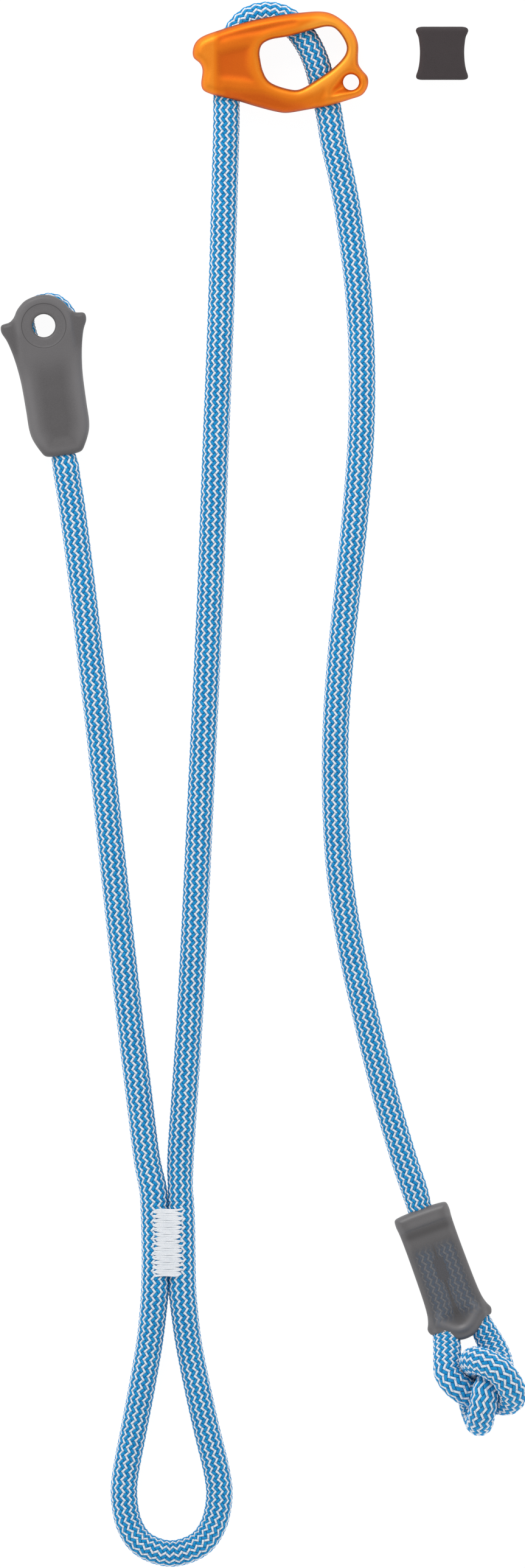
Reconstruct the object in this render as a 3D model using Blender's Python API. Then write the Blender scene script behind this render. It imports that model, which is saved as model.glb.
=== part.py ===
# Tree climbing lanyard with an adjuster, laid out flat on the surface it rests on.
# Lengths are in metres. The frame's origin is the middle of the left panel of the adjuster's
# back face, which lies on the surface. +Y runs from the tie-in loop to the adjuster, and +Z
# points away from the surface. The rope's routes are lists of points in the same frame.
import math

import bmesh
import bpy
from mathutils import Matrix, Vector

# Rope and the clearances round it
ROPE_DIAMETER = 0.010
ROPE_TIGHT_SHARE = 0.92
ROPE_EYE_SHARE = 0.76
ROPE_STEP = 0.025
LOOP_STEP = 0.012
KNOT_STEP = 0.0036
BEND_STEP = 0.007
PIECE_GAP = 0.0003
SLEEVE_CLEARANCE = 0.0003
CHANNEL_CLEARANCE = 0.0005

# Adjuster, one aluminium forging
ADJUSTER_LENGTH = 0.0656
ADJUSTER_HEIGHT = 0.0379
ADJUSTER_THICKNESS = 0.018
ADJUSTER_LEFT = -0.0127
ADJUSTER_FOOT = -0.0172
ADJUSTER_EDGE_ROUNDING = 0.0018
CORD_HOLE_RADIUS = 0.0030
CORD_HOLE_X = 0.0466
CORD_HOLE_Y = -0.0057
PANEL_DEPTH = 0.0007
CHANNEL_OVERRUN = 0.008

# Sleeve on the left sewn eye, placed by the middle of its hole
LEFT_SLEEVE_X = -0.0682
LEFT_SLEEVE_Y = -0.0966
LEFT_SLEEVE_TILT = math.radians(8.8)
LEFT_SLEEVE_DROP = 0.0487
LEFT_SLEEVE_WIDTH = 0.0318
LEFT_SLEEVE_DOME_RADIUS = 0.0116
LEFT_SLEEVE_DOME_TURN = math.radians(66.0)
LEFT_SLEEVE_THICKNESS = 0.0124
LEFT_SLEEVE_ROUNDING = 0.0010
LEFT_EYE_HOLE_RADIUS = 0.0043
LEFT_EYE_RING_RADIUS = 0.0083
LEFT_EYE_RING_DEPTH = 0.0004
LEFT_EYE_BEND_RADIUS = 0.0081
LEFT_EYE_SHIFT_X = 0.0010
LEFT_EYE_SHIFT_Y = 0.0009
SLEEVE_STRAND_OFFSET = 0.0048

# Sleeve on the right sewn end, placed midway between the two strands in it
RIGHT_SLEEVE_TILT = math.radians(20.0)
RIGHT_SLEEVE_LENGTH = 0.0509
RIGHT_SLEEVE_WIDTH = 0.0254
RIGHT_SLEEVE_THICKNESS = 0.0124
RIGHT_SLEEVE_ROUNDING = 0.0010

# Rubber keeper, shown off the lanyard
KEEPER_X = 0.0806
KEEPER_Y = 0.0051
KEEPER_WIDTH = 0.0198
KEEPER_HEIGHT = 0.0200
KEEPER_THICKNESS = 0.0090
KEEPER_ROUNDING = 0.0007
KEEPER_BORE_WIDTH = 0.0130
KEEPER_BORE_HEIGHT = 0.0050
KEEPER_BORE_ROUNDING = 0.0020

# Thread: the tie-in bar tack and the two bar tacks hidden in the sleeves
THREAD_DIAMETER = 0.0010
TIE_IN_TACK_WIDTH = 0.0112
TIE_IN_TACK_PITCH = 0.0013
TIE_IN_TACK_ROWS = 20
TIE_IN_TACK_TOP = -0.4268
TIE_IN_TACK_MIDDLE = -0.0217
TIE_IN_TACK_DIP = 0.0004
HIDDEN_TACK_ROWS = 6
HIDDEN_TACK_WIDTH = 0.0034
HIDDEN_TACK_PITCH = 0.0016
LEFT_TACK_BELOW_EYE = 0.0180
RIGHT_TACK_BELOW_MIDDLE = -0.0040

CUT_OVERRUN = 0.004

# Routes of the rope, along its middle line, read off the photograph
LEFT_ARM_ROUTE = [
    (-0.0608, -0.1450, 0.0062), (-0.0600, -0.1491, 0.0062), (-0.0594, -0.1532, 0.0058),
    (-0.0574, -0.1659, 0.0050), (-0.0539, -0.1932, 0.0050), (-0.0507, -0.2205, 0.0050),
    (-0.0475, -0.2477, 0.0050), (-0.0447, -0.2750, 0.0050), (-0.0418, -0.3023, 0.0050),
    (-0.0389, -0.3295, 0.0050), (-0.0359, -0.3568, 0.0050), (-0.0326, -0.3841, 0.0050),
    (-0.0298, -0.4068, 0.0055), (-0.0275, -0.4182, 0.0063), (-0.0269, -0.4239, 0.0063),
]
TIE_IN_LOOP_ROUTE = [
    (-0.0266, -0.4552, 0.0063), (-0.0270, -0.4614, 0.0060), (-0.0286, -0.4759, 0.0050),
    (-0.0314, -0.4923, 0.0050), (-0.0345, -0.5086, 0.0050), (-0.0376, -0.5250, 0.0050),
    (-0.0381, -0.5345, 0.0050), (-0.0361, -0.5445, 0.0050), (-0.0307, -0.5518, 0.0050),
    (-0.0207, -0.5550, 0.0050), (-0.0105, -0.5518, 0.0050), (-0.0049, -0.5445, 0.0050),
    (-0.0027, -0.5345, 0.0050), (-0.0035, -0.5250, 0.0050), (-0.0074, -0.5086, 0.0050),
    (-0.0110, -0.4923, 0.0050), (-0.0142, -0.4759, 0.0050), (-0.0160, -0.4614, 0.0060),
    (-0.0165, -0.4552, 0.0063),
]
STITCHED_LEFT_ROUTE = [
    (-0.0268, -0.4243, 0.0063), (-0.0266, -0.4330, 0.0063), (-0.0264, -0.4450, 0.0063),
    (-0.0266, -0.4548, 0.0063),
]
STITCHED_RIGHT_ROUTE = [
    (-0.0170, -0.4243, 0.0063), (-0.0169, -0.4330, 0.0063), (-0.0167, -0.4450, 0.0063),
    (-0.0165, -0.4548, 0.0063),
]
MAIN_LOWER_ROUTE = [
    (-0.0170, -0.4239, 0.0063), (-0.0172, -0.4182, 0.0063), (-0.0171, -0.4068, 0.0055),
    (-0.0156, -0.3841, 0.0050), (-0.0138, -0.3568, 0.0050), (-0.0123, -0.3295, 0.0050),
    (-0.0110, -0.3023, 0.0050), (-0.0097, -0.2750, 0.0050),
]
MAIN_UPPER_ROUTE = [
    (-0.0097, -0.2747, 0.0050), (-0.0084, -0.2477, 0.0050), (-0.0071, -0.2205, 0.0050),
    (-0.0059, -0.1932, 0.0050), (-0.0049, -0.1659, 0.0050), (-0.0039, -0.1386, 0.0050),
    (-0.0028, -0.1114, 0.0050), (-0.0018, -0.0841, 0.0050), (-0.0010, -0.0568, 0.0052),
    (-0.0005, -0.0386, 0.0060), (-0.0001, -0.0250, 0.0077), (0.0000, -0.0182, 0.0087),
    (0.0000, -0.0131, 0.0090),
]
ADJUSTER_BEND_ROUTE = [
    (0.0000, -0.0127, 0.0090), (0.0001, -0.0023, 0.0090), (0.0011, 0.0057, 0.0090),
    (0.0041, 0.0132, 0.0090), (0.0091, 0.0180, 0.0090), (0.0155, 0.0195, 0.0090),
    (0.0218, 0.0180, 0.0090), (0.0270, 0.0136, 0.0090), (0.0311, 0.0075, 0.0090),
    (0.0339, 0.0009, 0.0090), (0.0357, -0.0059, 0.0090), (0.0370, -0.0115, 0.0090),
    (0.0378, -0.0148, 0.0090),
]
RIGHT_ARM_ROUTE = [
    (0.0379, -0.0152, 0.0090), (0.0389, -0.0205, 0.0087), (0.0402, -0.0286, 0.0077),
    (0.0430, -0.0409, 0.0060), (0.0459, -0.0568, 0.0052), (0.0493, -0.0841, 0.0050),
    (0.0507, -0.1114, 0.0050), (0.0503, -0.1386, 0.0050), (0.0483, -0.1659, 0.0050),
    (0.0455, -0.1932, 0.0050), (0.0427, -0.2205, 0.0050), (0.0409, -0.2477, 0.0050),
    (0.0408, -0.2750, 0.0050), (0.0425, -0.3023, 0.0050), (0.0467, -0.3295, 0.0050),
    (0.0527, -0.3568, 0.0050), (0.0595, -0.3841, 0.0050), (0.0661, -0.4068, 0.0050),
    (0.0702, -0.4190, 0.0058), (0.0721, -0.4258, 0.0062),
]
RIGHT_STANDING_ROUTE = [
    (0.0722, -0.4261, 0.0062), (0.0731, -0.4293, 0.0062), (0.0727, -0.4330, 0.0062),
    (0.0721, -0.4365, 0.0062), (0.0725, -0.4410, 0.0062), (0.0757, -0.4502, 0.0062),
    (0.0795, -0.4615, 0.0062), (0.0810, -0.4675, 0.0062), (0.0820, -0.4730, 0.0065),
    (0.0825, -0.4780, 0.0090),
]
# Not chosen by hand: a separate calculation pushed places picked over the photograph apart until
# the strands cleared each other, and its result stands here to half a millimetre, as do the
# points that lead into it just above and just below.
KNOT_ROUTE = [
    (0.0825, -0.4830, 0.0125), (0.0830, -0.4880, 0.0155),
    (0.0865, -0.4925, 0.0170), (0.0915, -0.4955, 0.0155), (0.0970, -0.4963, 0.0135),
    (0.1020, -0.4980, 0.0150), (0.1055, -0.4980, 0.0200), (0.1070, -0.4955, 0.0255),
    (0.1055, -0.4915, 0.0295), (0.1020, -0.4870, 0.0310), (0.0970, -0.4840, 0.0290),
    (0.0935, -0.4830, 0.0245), (0.0922, -0.4835, 0.0185), (0.0923, -0.4855, 0.0130),
    (0.0920, -0.4885, 0.0080), (0.0910, -0.4935, 0.0052), (0.0920, -0.4995, 0.0052),
    (0.0935, -0.5040, 0.0085), (0.0945, -0.5060, 0.0140), (0.0950, -0.5045, 0.0200),
    (0.0960, -0.5000, 0.0240), (0.0970, -0.4945, 0.0245), (0.0995, -0.4900, 0.0210),
    (0.1020, -0.4875, 0.0165), (0.1020, -0.4845, 0.0115), (0.1005, -0.4800, 0.0080),
]
RIGHT_TAIL_ROUTE = [
    (0.0980, -0.4750, 0.0060), (0.0950, -0.4695, 0.0060), (0.0894, -0.4594, 0.0062),
    (0.0848, -0.4472, 0.0062), (0.0813, -0.4374, 0.0062),
]
# Strands in the left sleeve: shares of the strand offset and of the sleeve's drop
LEFT_STANDING_SHARES = [
    (0.00, -0.999), (0.04, -0.920), (0.45, -0.825), (1.00, -0.730), (1.00, -0.520),
    (1.05, -0.310), (1.35, -0.160),
]
LEFT_TAIL_SHARES = [(-1.35, -0.160), (-1.05, -0.310), (-1.00, -0.520), (-1.00, -0.660)]

# Outlines as shares of the length and the height of their piece, from its lower left corner
ADJUSTER_OUTLINE_SHARES = [
    (0.001, 0.599), (0.015, 0.685), (0.051, 0.746), (0.171, 0.825), (0.298, 0.893),
    (0.440, 0.947), (0.617, 0.990), (0.737, 1.000), (0.793, 0.978), (0.857, 0.911),
    (0.914, 0.807), (0.943, 0.685), (0.943, 0.538), (0.946, 0.477), (0.970, 0.416),
    (0.998, 0.355), (1.000, 0.269), (0.970, 0.183), (0.899, 0.134), (0.793, 0.080),
    (0.652, 0.031), (0.532, 0.000), (0.475, 0.012), (0.369, 0.061), (0.227, 0.134),
    (0.100, 0.189), (0.061, 0.226), (0.051, 0.281), (0.058, 0.428), (0.044, 0.489),
    (0.008, 0.544),
]
CONNECTOR_HOLE_SHARES = [
    (0.383, 0.599), (0.397, 0.672), (0.440, 0.721), (0.553, 0.758), (0.708, 0.832),
    (0.765, 0.853), (0.808, 0.838), (0.857, 0.746), (0.880, 0.648), (0.871, 0.575),
    (0.808, 0.452), (0.723, 0.342), (0.609, 0.232), (0.567, 0.230), (0.440, 0.306),
    (0.404, 0.403), (0.387, 0.525),
]
PANEL_SHARES = [
    (0.125, 0.300), (0.110, 0.450), (0.125, 0.640), (0.240, 0.720), (0.330, 0.700),
    (0.345, 0.550), (0.350, 0.440), (0.360, 0.300), (0.310, 0.240), (0.200, 0.245),
]
# Half outlines from the top down, as shares of the piece's half width and of its height.
# The left sleeve's starts at the foot of its dome, and its heights are shares of the drop.
LEFT_SLEEVE_SIDE_SHARES = [
    (0.780, 0.066), (0.985, 0.050), (1.012, 0.002), (0.920, -0.070), (0.857, -0.140),
    (0.795, -0.240), (0.736, -0.397), (0.716, -0.620), (0.702, -0.780), (0.614, -0.902),
    (0.457, -0.981), (0.330, -1.000),
]
RIGHT_SLEEVE_SIDE_SHARES = [
    (0.680, 0.457), (0.800, 0.446), (0.835, 0.400), (0.812, 0.330), (0.805, 0.060),
    (0.850, -0.280), (0.925, -0.350), (0.995, -0.390), (0.930, -0.435), (0.770, -0.440),
    (0.640, -0.465), (0.400, -0.515), (0.150, -0.543),
]
KEEPER_SIDE_SHARES = [
    (0.780, 0.500), (0.930, 0.470), (1.000, 0.380), (0.955, 0.260), (0.885, 0.120),
    (0.845, 0.000), (0.860, -0.140), (0.920, -0.270), (0.985, -0.390), (0.920, -0.475),
    (0.780, -0.500),
]

# Places in the two lists above of the points that the right sleeve lies between
RIGHT_STANDING_INSIDE = 5
RIGHT_TAIL_INSIDE = 3

ROPE_SIDES_RESOLUTION = 3
THREAD_SIDES_RESOLUTION = 1
CURVE_STEPS = 8
EYE_STEPS = 3
OUTLINE_STEPS = 2
ROUNDING_STEPS = 3
SMOOTH_ANGLE = math.radians(35.0)
EYE_SIDES = 24
BORE_SIDES = 16
EYE_BEND_STEPS = 6
DOME_STEPS = 5


def clear_scene():
    for item in list(bpy.data.objects):
        bpy.data.objects.remove(item, do_unlink=True)


def material(name, colour, roughness, metallic=0.0):
    made = bpy.data.materials.new(name)
    made.use_nodes = True
    shader = made.node_tree.nodes["Principled BSDF"]
    shader.inputs["Base Color"].default_value = (*colour, 1.0)
    shader.inputs["Roughness"].default_value = roughness
    shader.inputs["Metallic"].default_value = metallic
    return made


def smooth_curve(points, closed=False, steps=CURVE_STEPS):
    """Catmull-Rom points through the given ones."""
    points = [Vector(point) for point in points]
    if closed:
        padded = [points[-1], *points, points[0], points[1]]
        spans = len(points)
    else:
        padded = [2 * points[0] - points[1], *points, 2 * points[-1] - points[-2]]
        spans = len(points) - 1
    made = []
    for span in range(spans):
        before, start, end, after = padded[span : span + 4]
        for step in range(steps):
            t = step / steps
            swing = (end - before) * t + (2 * before - 5 * start + 4 * end - after) * t**2
            swing += (3 * start - before - 3 * end + after) * t**3
            made.append(start + swing / 2)
    if not closed:
        made.append(points[-1])
    return made


def evenly_spaced(points, step):
    """Points about one step apart along a fine line, which keeps its ends' directions."""
    reached = [0.0]
    for before, after in zip(points, points[1:]):
        reached.append(reached[-1] + (after - before).length)
    pieces = max(2, round(reached[-1] / step))
    made = [points[0], points[2]]
    place = 0
    for number in range(1, pieces):
        wanted = reached[-1] * number / pieces
        while reached[place + 1] < wanted:
            place += 1
        share = (wanted - reached[place]) / (reached[place + 1] - reached[place])
        made.append(points[place].lerp(points[place + 1], share))
    return [*made, points[-3], points[-1]]


def lengthened(line, at_start, at_end):
    """The line with one more point beyond each end."""
    first = line[0] + (line[0] - line[1]).normalized() * at_start
    last = line[-1] + (line[-1] - line[-2]).normalized() * at_end
    return [first, *line, last]


def tube(name, line, diameter, shares=None, resolution=ROPE_SIDES_RESOLUTION):
    """A curve object along the line; shares thin it point by point."""
    curve = bpy.data.curves.new(name, "CURVE")
    curve.dimensions = "3D"
    curve.bevel_depth = diameter / 2
    curve.bevel_resolution = resolution
    curve.use_fill_caps = True
    spline = curve.splines.new("POLY")
    spline.points.add(len(line) - 1)
    for number, (point, place) in enumerate(zip(spline.points, line)):
        point.co = (*place, 1.0)
        point.radius = 1.0 if shares is None else shares[number]
    made = bpy.data.objects.new(name, curve)
    bpy.context.collection.objects.link(made)
    return made


def rope(name, route, finish, step=ROPE_STEP, start=1.0, end=1.0):
    """A stretch of rope, as thick at its two ends as the shares say."""
    line = evenly_spaced(smooth_curve(route), step)
    shares = [start, start, *[1.0] * (len(line) - 4), end, end]
    made = tube(name, line, ROPE_DIAMETER, shares)
    made.data.materials.append(finish)


def solid_of(curve_object):
    """Turn a curve object into a mesh object of the same name."""
    name = curve_object.name
    bpy.context.view_layer.update()
    evaluated = curve_object.evaluated_get(bpy.context.evaluated_depsgraph_get())
    mesh = bpy.data.meshes.new_from_object(evaluated)
    bpy.data.objects.remove(curve_object, do_unlink=True)
    made = bpy.data.objects.new(name, mesh)
    bpy.context.collection.objects.link(made)
    return made


def strand_cutter(name, line, shares):
    """The room a strand of rope takes up in a sleeve, with its clearance."""
    wider = [share + 2 * SLEEVE_CLEARANCE / ROPE_DIAMETER for share in shares]
    return solid_of(tube(name, line, ROPE_DIAMETER, wider))


def object_from(bm, name, finish=None):
    bmesh.ops.recalc_face_normals(bm, faces=bm.faces)
    mesh = bpy.data.meshes.new(name)
    bm.to_mesh(mesh)
    bm.free()
    made = bpy.data.objects.new(name, mesh)
    bpy.context.collection.objects.link(made)
    if finish is not None:
        mesh.materials.append(finish)
    return made


def drawn_in(outline, distance):
    """The closed outline moved inwards by the distance, point for point."""
    count = len(outline)
    corners = zip(outline, outline[1:] + outline[:1])
    turn = 1.0 if sum(point.cross(other) for point, other in corners) > 0 else -1.0
    moved = []
    for number, point in enumerate(outline):
        before = (point - outline[number - 1]).normalized()
        after = (outline[(number + 1) % count] - point).normalized()
        along = (before + after).normalized()
        inwards = Vector((-along.y, along.x)) * turn
        moved.append(point + inwards * distance / max(0.6, along.dot(after)))
    return moved


def rounded_plate(name, outline, thickness, rounding, finish):
    """A plate on the surface whose rims are rounded over."""
    bm = bmesh.new()
    levels = []
    for step in range(ROUNDING_STEPS + 1):
        angle = math.pi / 2 * step / ROUNDING_STEPS
        levels.append((rounding * (1 - math.cos(angle)), rounding * (1 - math.sin(angle))))
    levels += [(thickness - height, inwards) for height, inwards in reversed(levels)]
    rings = []
    for height, inwards in levels:
        ring = drawn_in(outline, inwards)
        rings.append([bm.verts.new((point.x, point.y, height)) for point in ring])
    for lower, upper in zip(rings, rings[1:]):
        for number in range(len(outline)):
            other = (number + 1) % len(outline)
            bm.faces.new((lower[number], lower[other], upper[other], upper[number]))
    bm.faces.new(rings[0])
    bm.faces.new(rings[-1])
    return object_from(bm, name, finish)


def prism(name, outline, low, high):
    """A plain extrusion of an outline, used as a cutter."""
    bm = bmesh.new()
    face = bm.faces.new([bm.verts.new((point.x, point.y, low)) for point in outline])
    raised = bmesh.ops.extrude_face_region(bm, geom=[face])
    moved = [item for item in raised["geom"] if isinstance(item, bmesh.types.BMVert)]
    bmesh.ops.translate(bm, verts=moved, vec=(0, 0, high - low))
    return object_from(bm, name)


def cut(target, cutters, meet_themselves=False):
    """Take the cutters out of the target, shade the result and remove the cutters."""
    for cutter in cutters:
        cutter.hide_render = True
        cutter.display_type = "WIRE"
        boolean = target.modifiers.new(cutter.name, "BOOLEAN")
        boolean.operation = "DIFFERENCE"
        boolean.solver = "EXACT"
        boolean.use_self = meet_themselves
        boolean.object = cutter
    bpy.context.view_layer.update()
    evaluated = target.evaluated_get(bpy.context.evaluated_depsgraph_get())
    mesh = bpy.data.meshes.new_from_object(evaluated)
    target.modifiers.clear()
    target.data = mesh
    mesh.shade_smooth()
    mesh.set_sharp_from_angle(angle=SMOOTH_ANGLE)
    for cutter in cutters:
        bpy.data.objects.remove(cutter, do_unlink=True)


def circle(radius, x=0.0, y=0.0):
    turns = [math.tau * side / EYE_SIDES for side in range(EYE_SIDES)]
    return [Vector((x + radius * math.cos(turn), y + radius * math.sin(turn))) for turn in turns]


def rounded_outline(points):
    smooth = smooth_curve([point.to_3d() for point in points], True, OUTLINE_STEPS)
    return [point.to_2d() for point in smooth]


def mirrored(right):
    """A symmetric outline from the points of its right side, top to bottom."""
    return right + [Vector((-point.x, point.y)) for point in reversed(right)]


def scaled(shares, width, height, left=0.0, foot=0.0):
    return [Vector((left + across * width, foot + up * height)) for across, up in shares]


def placed(item, where):
    """Turn the mesh about Z and move it, so that its points are in the part's frame."""
    x, y, turn = where
    item.data.transform(Matrix.Translation((x, y, 0)) @ Matrix.Rotation(turn, 4, "Z"))
    return item


def in_frame(points, where):
    x, y, turn = where
    move = Matrix.Translation((x, y, 0)) @ Matrix.Rotation(turn, 4, "Z")
    return [move @ Vector(point) for point in points]


def make_adjuster(finish):
    """The forged body: rounded plate, rope channel, connector hole and cord hole."""
    place = (ADJUSTER_LENGTH, ADJUSTER_HEIGHT, ADJUSTER_LEFT, ADJUSTER_FOOT)
    outline = rounded_outline(scaled(ADJUSTER_OUTLINE_SHARES, *place))
    size = (ADJUSTER_THICKNESS, ADJUSTER_EDGE_ROUNDING)
    body = rounded_plate("adjuster_body", outline, *size, finish)
    low = -CUT_OVERRUN
    top = ADJUSTER_THICKNESS + CUT_OVERRUN
    hole = rounded_outline(scaled(CONNECTOR_HOLE_SHARES, *place))
    cord = circle(CORD_HOLE_RADIUS, CORD_HOLE_X, CORD_HOLE_Y)
    panel = rounded_outline(scaled(PANEL_SHARES, *place))
    line = evenly_spaced(smooth_curve(ADJUSTER_BEND_ROUTE), BEND_STEP)
    line = lengthened(line, CHANNEL_OVERRUN, CHANNEL_OVERRUN)
    channel = tube("rope_channel", line, ROPE_DIAMETER + 2 * CHANNEL_CLEARANCE)
    cutters = [
        prism("connector_hole", hole, low, top),
        prism("cord_hole", cord, low, top),
        prism("panel_recess", panel, ADJUSTER_THICKNESS - PANEL_DEPTH, top),
        solid_of(channel),
    ]
    cut(body, cutters)


def left_eye_lines():
    """The two halves of the strand round the eye, in the sleeve's frame, with their shares."""
    middle = LEFT_SLEEVE_THICKNESS / 2
    size = (SLEEVE_STRAND_OFFSET, LEFT_SLEEVE_DROP)
    standing = scaled(LEFT_STANDING_SHARES, *size)
    tail = scaled(LEFT_TAIL_SHARES, *size)
    bend = []
    for step in range(EYE_BEND_STEPS + 1):
        angle = math.pi * step / EYE_BEND_STEPS
        across = LEFT_EYE_SHIFT_X + LEFT_EYE_BEND_RADIUS * math.cos(angle)
        up = LEFT_EYE_SHIFT_Y + LEFT_EYE_BEND_RADIUS * math.sin(angle)
        bend.append(Vector((across, up)))
    places = [(point.x, point.y, middle) for point in standing + bend + tail]
    shares = [ROPE_TIGHT_SHARE] * len(standing)
    shares += [ROPE_EYE_SHARE] * len(bend)
    shares += [ROPE_TIGHT_SHARE] * len(tail)
    line = smooth_curve(places, steps=EYE_STEPS)
    spread = smooth_curve([(share, 0, 0) for share in shares], steps=EYE_STEPS)
    return line, [point.x for point in spread]


def left_sleeve_outline():
    """Dome round the eye, an ear each side, and flanks that taper to the rope's mouth."""
    right = []
    for step in range(DOME_STEPS + 1):
        angle = math.pi / 2 - LEFT_SLEEVE_DOME_TURN * step / DOME_STEPS
        right.append(Vector((math.cos(angle), math.sin(angle))) * LEFT_SLEEVE_DOME_RADIUS)
    right += scaled(LEFT_SLEEVE_SIDE_SHARES, LEFT_SLEEVE_WIDTH / 2, LEFT_SLEEVE_DROP)
    return rounded_outline(mirrored(right)[:-1])


def make_left_end(sleeve_finish, rope_finish, thread_finish):
    """The sewn eye of the short arm in its moulded sleeve."""
    where = (LEFT_SLEEVE_X, LEFT_SLEEVE_Y, LEFT_SLEEVE_TILT)
    line, shares = left_eye_lines()
    line = in_frame(line, where)
    eye = tube("rope_left_eye", line, ROPE_DIAMETER, shares)
    eye.data.materials.append(rope_finish)
    size = (LEFT_SLEEVE_THICKNESS, LEFT_SLEEVE_ROUNDING)
    sleeve = rounded_plate("left_sleeve", left_sleeve_outline(), *size, sleeve_finish)
    placed(sleeve, where)
    longer = lengthened(line, CUT_OVERRUN, SLEEVE_CLEARANCE)
    spread = [shares[0], *shares, shares[-1]]
    top = LEFT_SLEEVE_THICKNESS + CUT_OVERRUN
    ring = LEFT_SLEEVE_THICKNESS - LEFT_EYE_RING_DEPTH
    cutters = [
        strand_cutter("left_strands", longer, spread),
        placed(prism("eye_hole", circle(LEFT_EYE_HOLE_RADIUS), -CUT_OVERRUN, top), where),
        placed(prism("eye_ring", circle(LEFT_EYE_RING_RADIUS), ring, top), where),
    ]
    middle = LEFT_SLEEVE_THICKNESS / 2
    cutters.append(hidden_tack("left_tack", where, LEFT_TACK_BELOW_EYE, middle, thread_finish))
    cut(sleeve, cutters, meet_themselves=True)


def make_right_end(sleeve_finish, rope_finish, thread_finish):
    """The sewn end of the adjustable arm: its sleeve, and the eye tied in a stopper knot."""
    inside = Vector(RIGHT_STANDING_ROUTE[RIGHT_STANDING_INSIDE])
    middle = inside.lerp(Vector(RIGHT_TAIL_ROUTE[RIGHT_TAIL_INSIDE]), 0.5)
    where = (middle.x, middle.y, RIGHT_SLEEVE_TILT)
    line = smooth_curve(RIGHT_STANDING_ROUTE + KNOT_ROUTE + RIGHT_TAIL_ROUTE)
    line = evenly_spaced(line, KNOT_STEP)
    end = tube("rope_right_end", line, ROPE_DIAMETER * ROPE_TIGHT_SHARE)
    end.data.materials.append(rope_finish)
    right = scaled(RIGHT_SLEEVE_SIDE_SHARES, RIGHT_SLEEVE_WIDTH / 2, RIGHT_SLEEVE_LENGTH)
    outline = rounded_outline(mirrored(right))
    size = (RIGHT_SLEEVE_THICKNESS, RIGHT_SLEEVE_ROUNDING)
    sleeve = rounded_plate("right_sleeve", outline, *size, sleeve_finish)
    placed(sleeve, where)
    standing = evenly_spaced(smooth_curve(RIGHT_STANDING_ROUTE), KNOT_STEP)
    standing = lengthened(standing, CUT_OVERRUN, CUT_OVERRUN)
    tail = evenly_spaced(smooth_curve(RIGHT_TAIL_ROUTE), KNOT_STEP)
    tail = lengthened(tail, CUT_OVERRUN, SLEEVE_CLEARANCE)
    cutters = [
        strand_cutter("right_standing", standing, [ROPE_TIGHT_SHARE] * len(standing)),
        strand_cutter("right_tail", tail, [ROPE_TIGHT_SHARE] * len(tail)),
    ]
    below = RIGHT_TACK_BELOW_MIDDLE
    cutters.append(hidden_tack("right_tack", where, below, middle.z, thread_finish))
    cut(sleeve, cutters)


def zigzag(width, pitch, rows, height, dip):
    """Points of a thread sewn to and fro, from its upper left end downwards."""
    points = []
    for row in range(rows):
        side = 1 if row % 2 == 0 else -1
        reach = (width - pitch) / 2 * side
        up = -row * pitch
        points += [(-reach, up, height), (0, up, height - dip), (reach, up, height)]
        if row < rows - 1:
            points.append((width / 2 * side, up - pitch / 2, height))
    return points


def bar_tack(name, line, finish):
    made = tube(name, line, THREAD_DIAMETER, resolution=THREAD_SIDES_RESOLUTION)
    made.data.materials.append(finish)


def hidden_tack(name, where, below, middle, finish):
    """A bar tack in the valleys between two strands; returns the cutter for its pocket."""
    aside = SLEEVE_STRAND_OFFSET - HIDDEN_TACK_WIDTH / 2
    crown = math.sqrt((ROPE_DIAMETER * ROPE_TIGHT_SHARE / 2) ** 2 - aside**2)
    reach = crown + PIECE_GAP + THREAD_DIAMETER / 2
    for face, height in (("_front", middle + reach), ("_back", middle - reach)):
        line = zigzag(HIDDEN_TACK_WIDTH, HIDDEN_TACK_PITCH, HIDDEN_TACK_ROWS, height, 0)
        line = in_frame([(x, y - below, z) for x, y, z in line], where)
        bar_tack(name + face, line, finish)
    room = THREAD_DIAMETER / 2 + SLEEVE_CLEARANCE
    side = HIDDEN_TACK_WIDTH / 2 + room
    top = room - below
    foot = -room - below - HIDDEN_TACK_PITCH * (HIDDEN_TACK_ROWS - 1)
    corners = [Vector(corner) for corner in ((-side, foot), (side, foot), (side, top), (-side, top))]
    pocket = prism(name + "_pocket", corners, middle - reach - room, middle + reach + room)
    return placed(pocket, where)


def make_tie_in_tacks(finish):
    """The white bar tack that closes the tie-in loop, on both faces of the rope."""
    middle = STITCHED_LEFT_ROUTE[0][2]
    reach = ROPE_DIAMETER * ROPE_TIGHT_SHARE / 2 + PIECE_GAP + THREAD_DIAMETER / 2
    faces = (
        ("tie_in_tack_front", middle + reach, TIE_IN_TACK_DIP),
        ("tie_in_tack_back", middle - reach, -TIE_IN_TACK_DIP),
    )
    for name, height, dip in faces:
        line = zigzag(TIE_IN_TACK_WIDTH, TIE_IN_TACK_PITCH, TIE_IN_TACK_ROWS, height, dip)
        moved = [Vector((x + TIE_IN_TACK_MIDDLE, y + TIE_IN_TACK_TOP, z)) for x, y, z in line]
        bar_tack(name, moved, finish)


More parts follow.
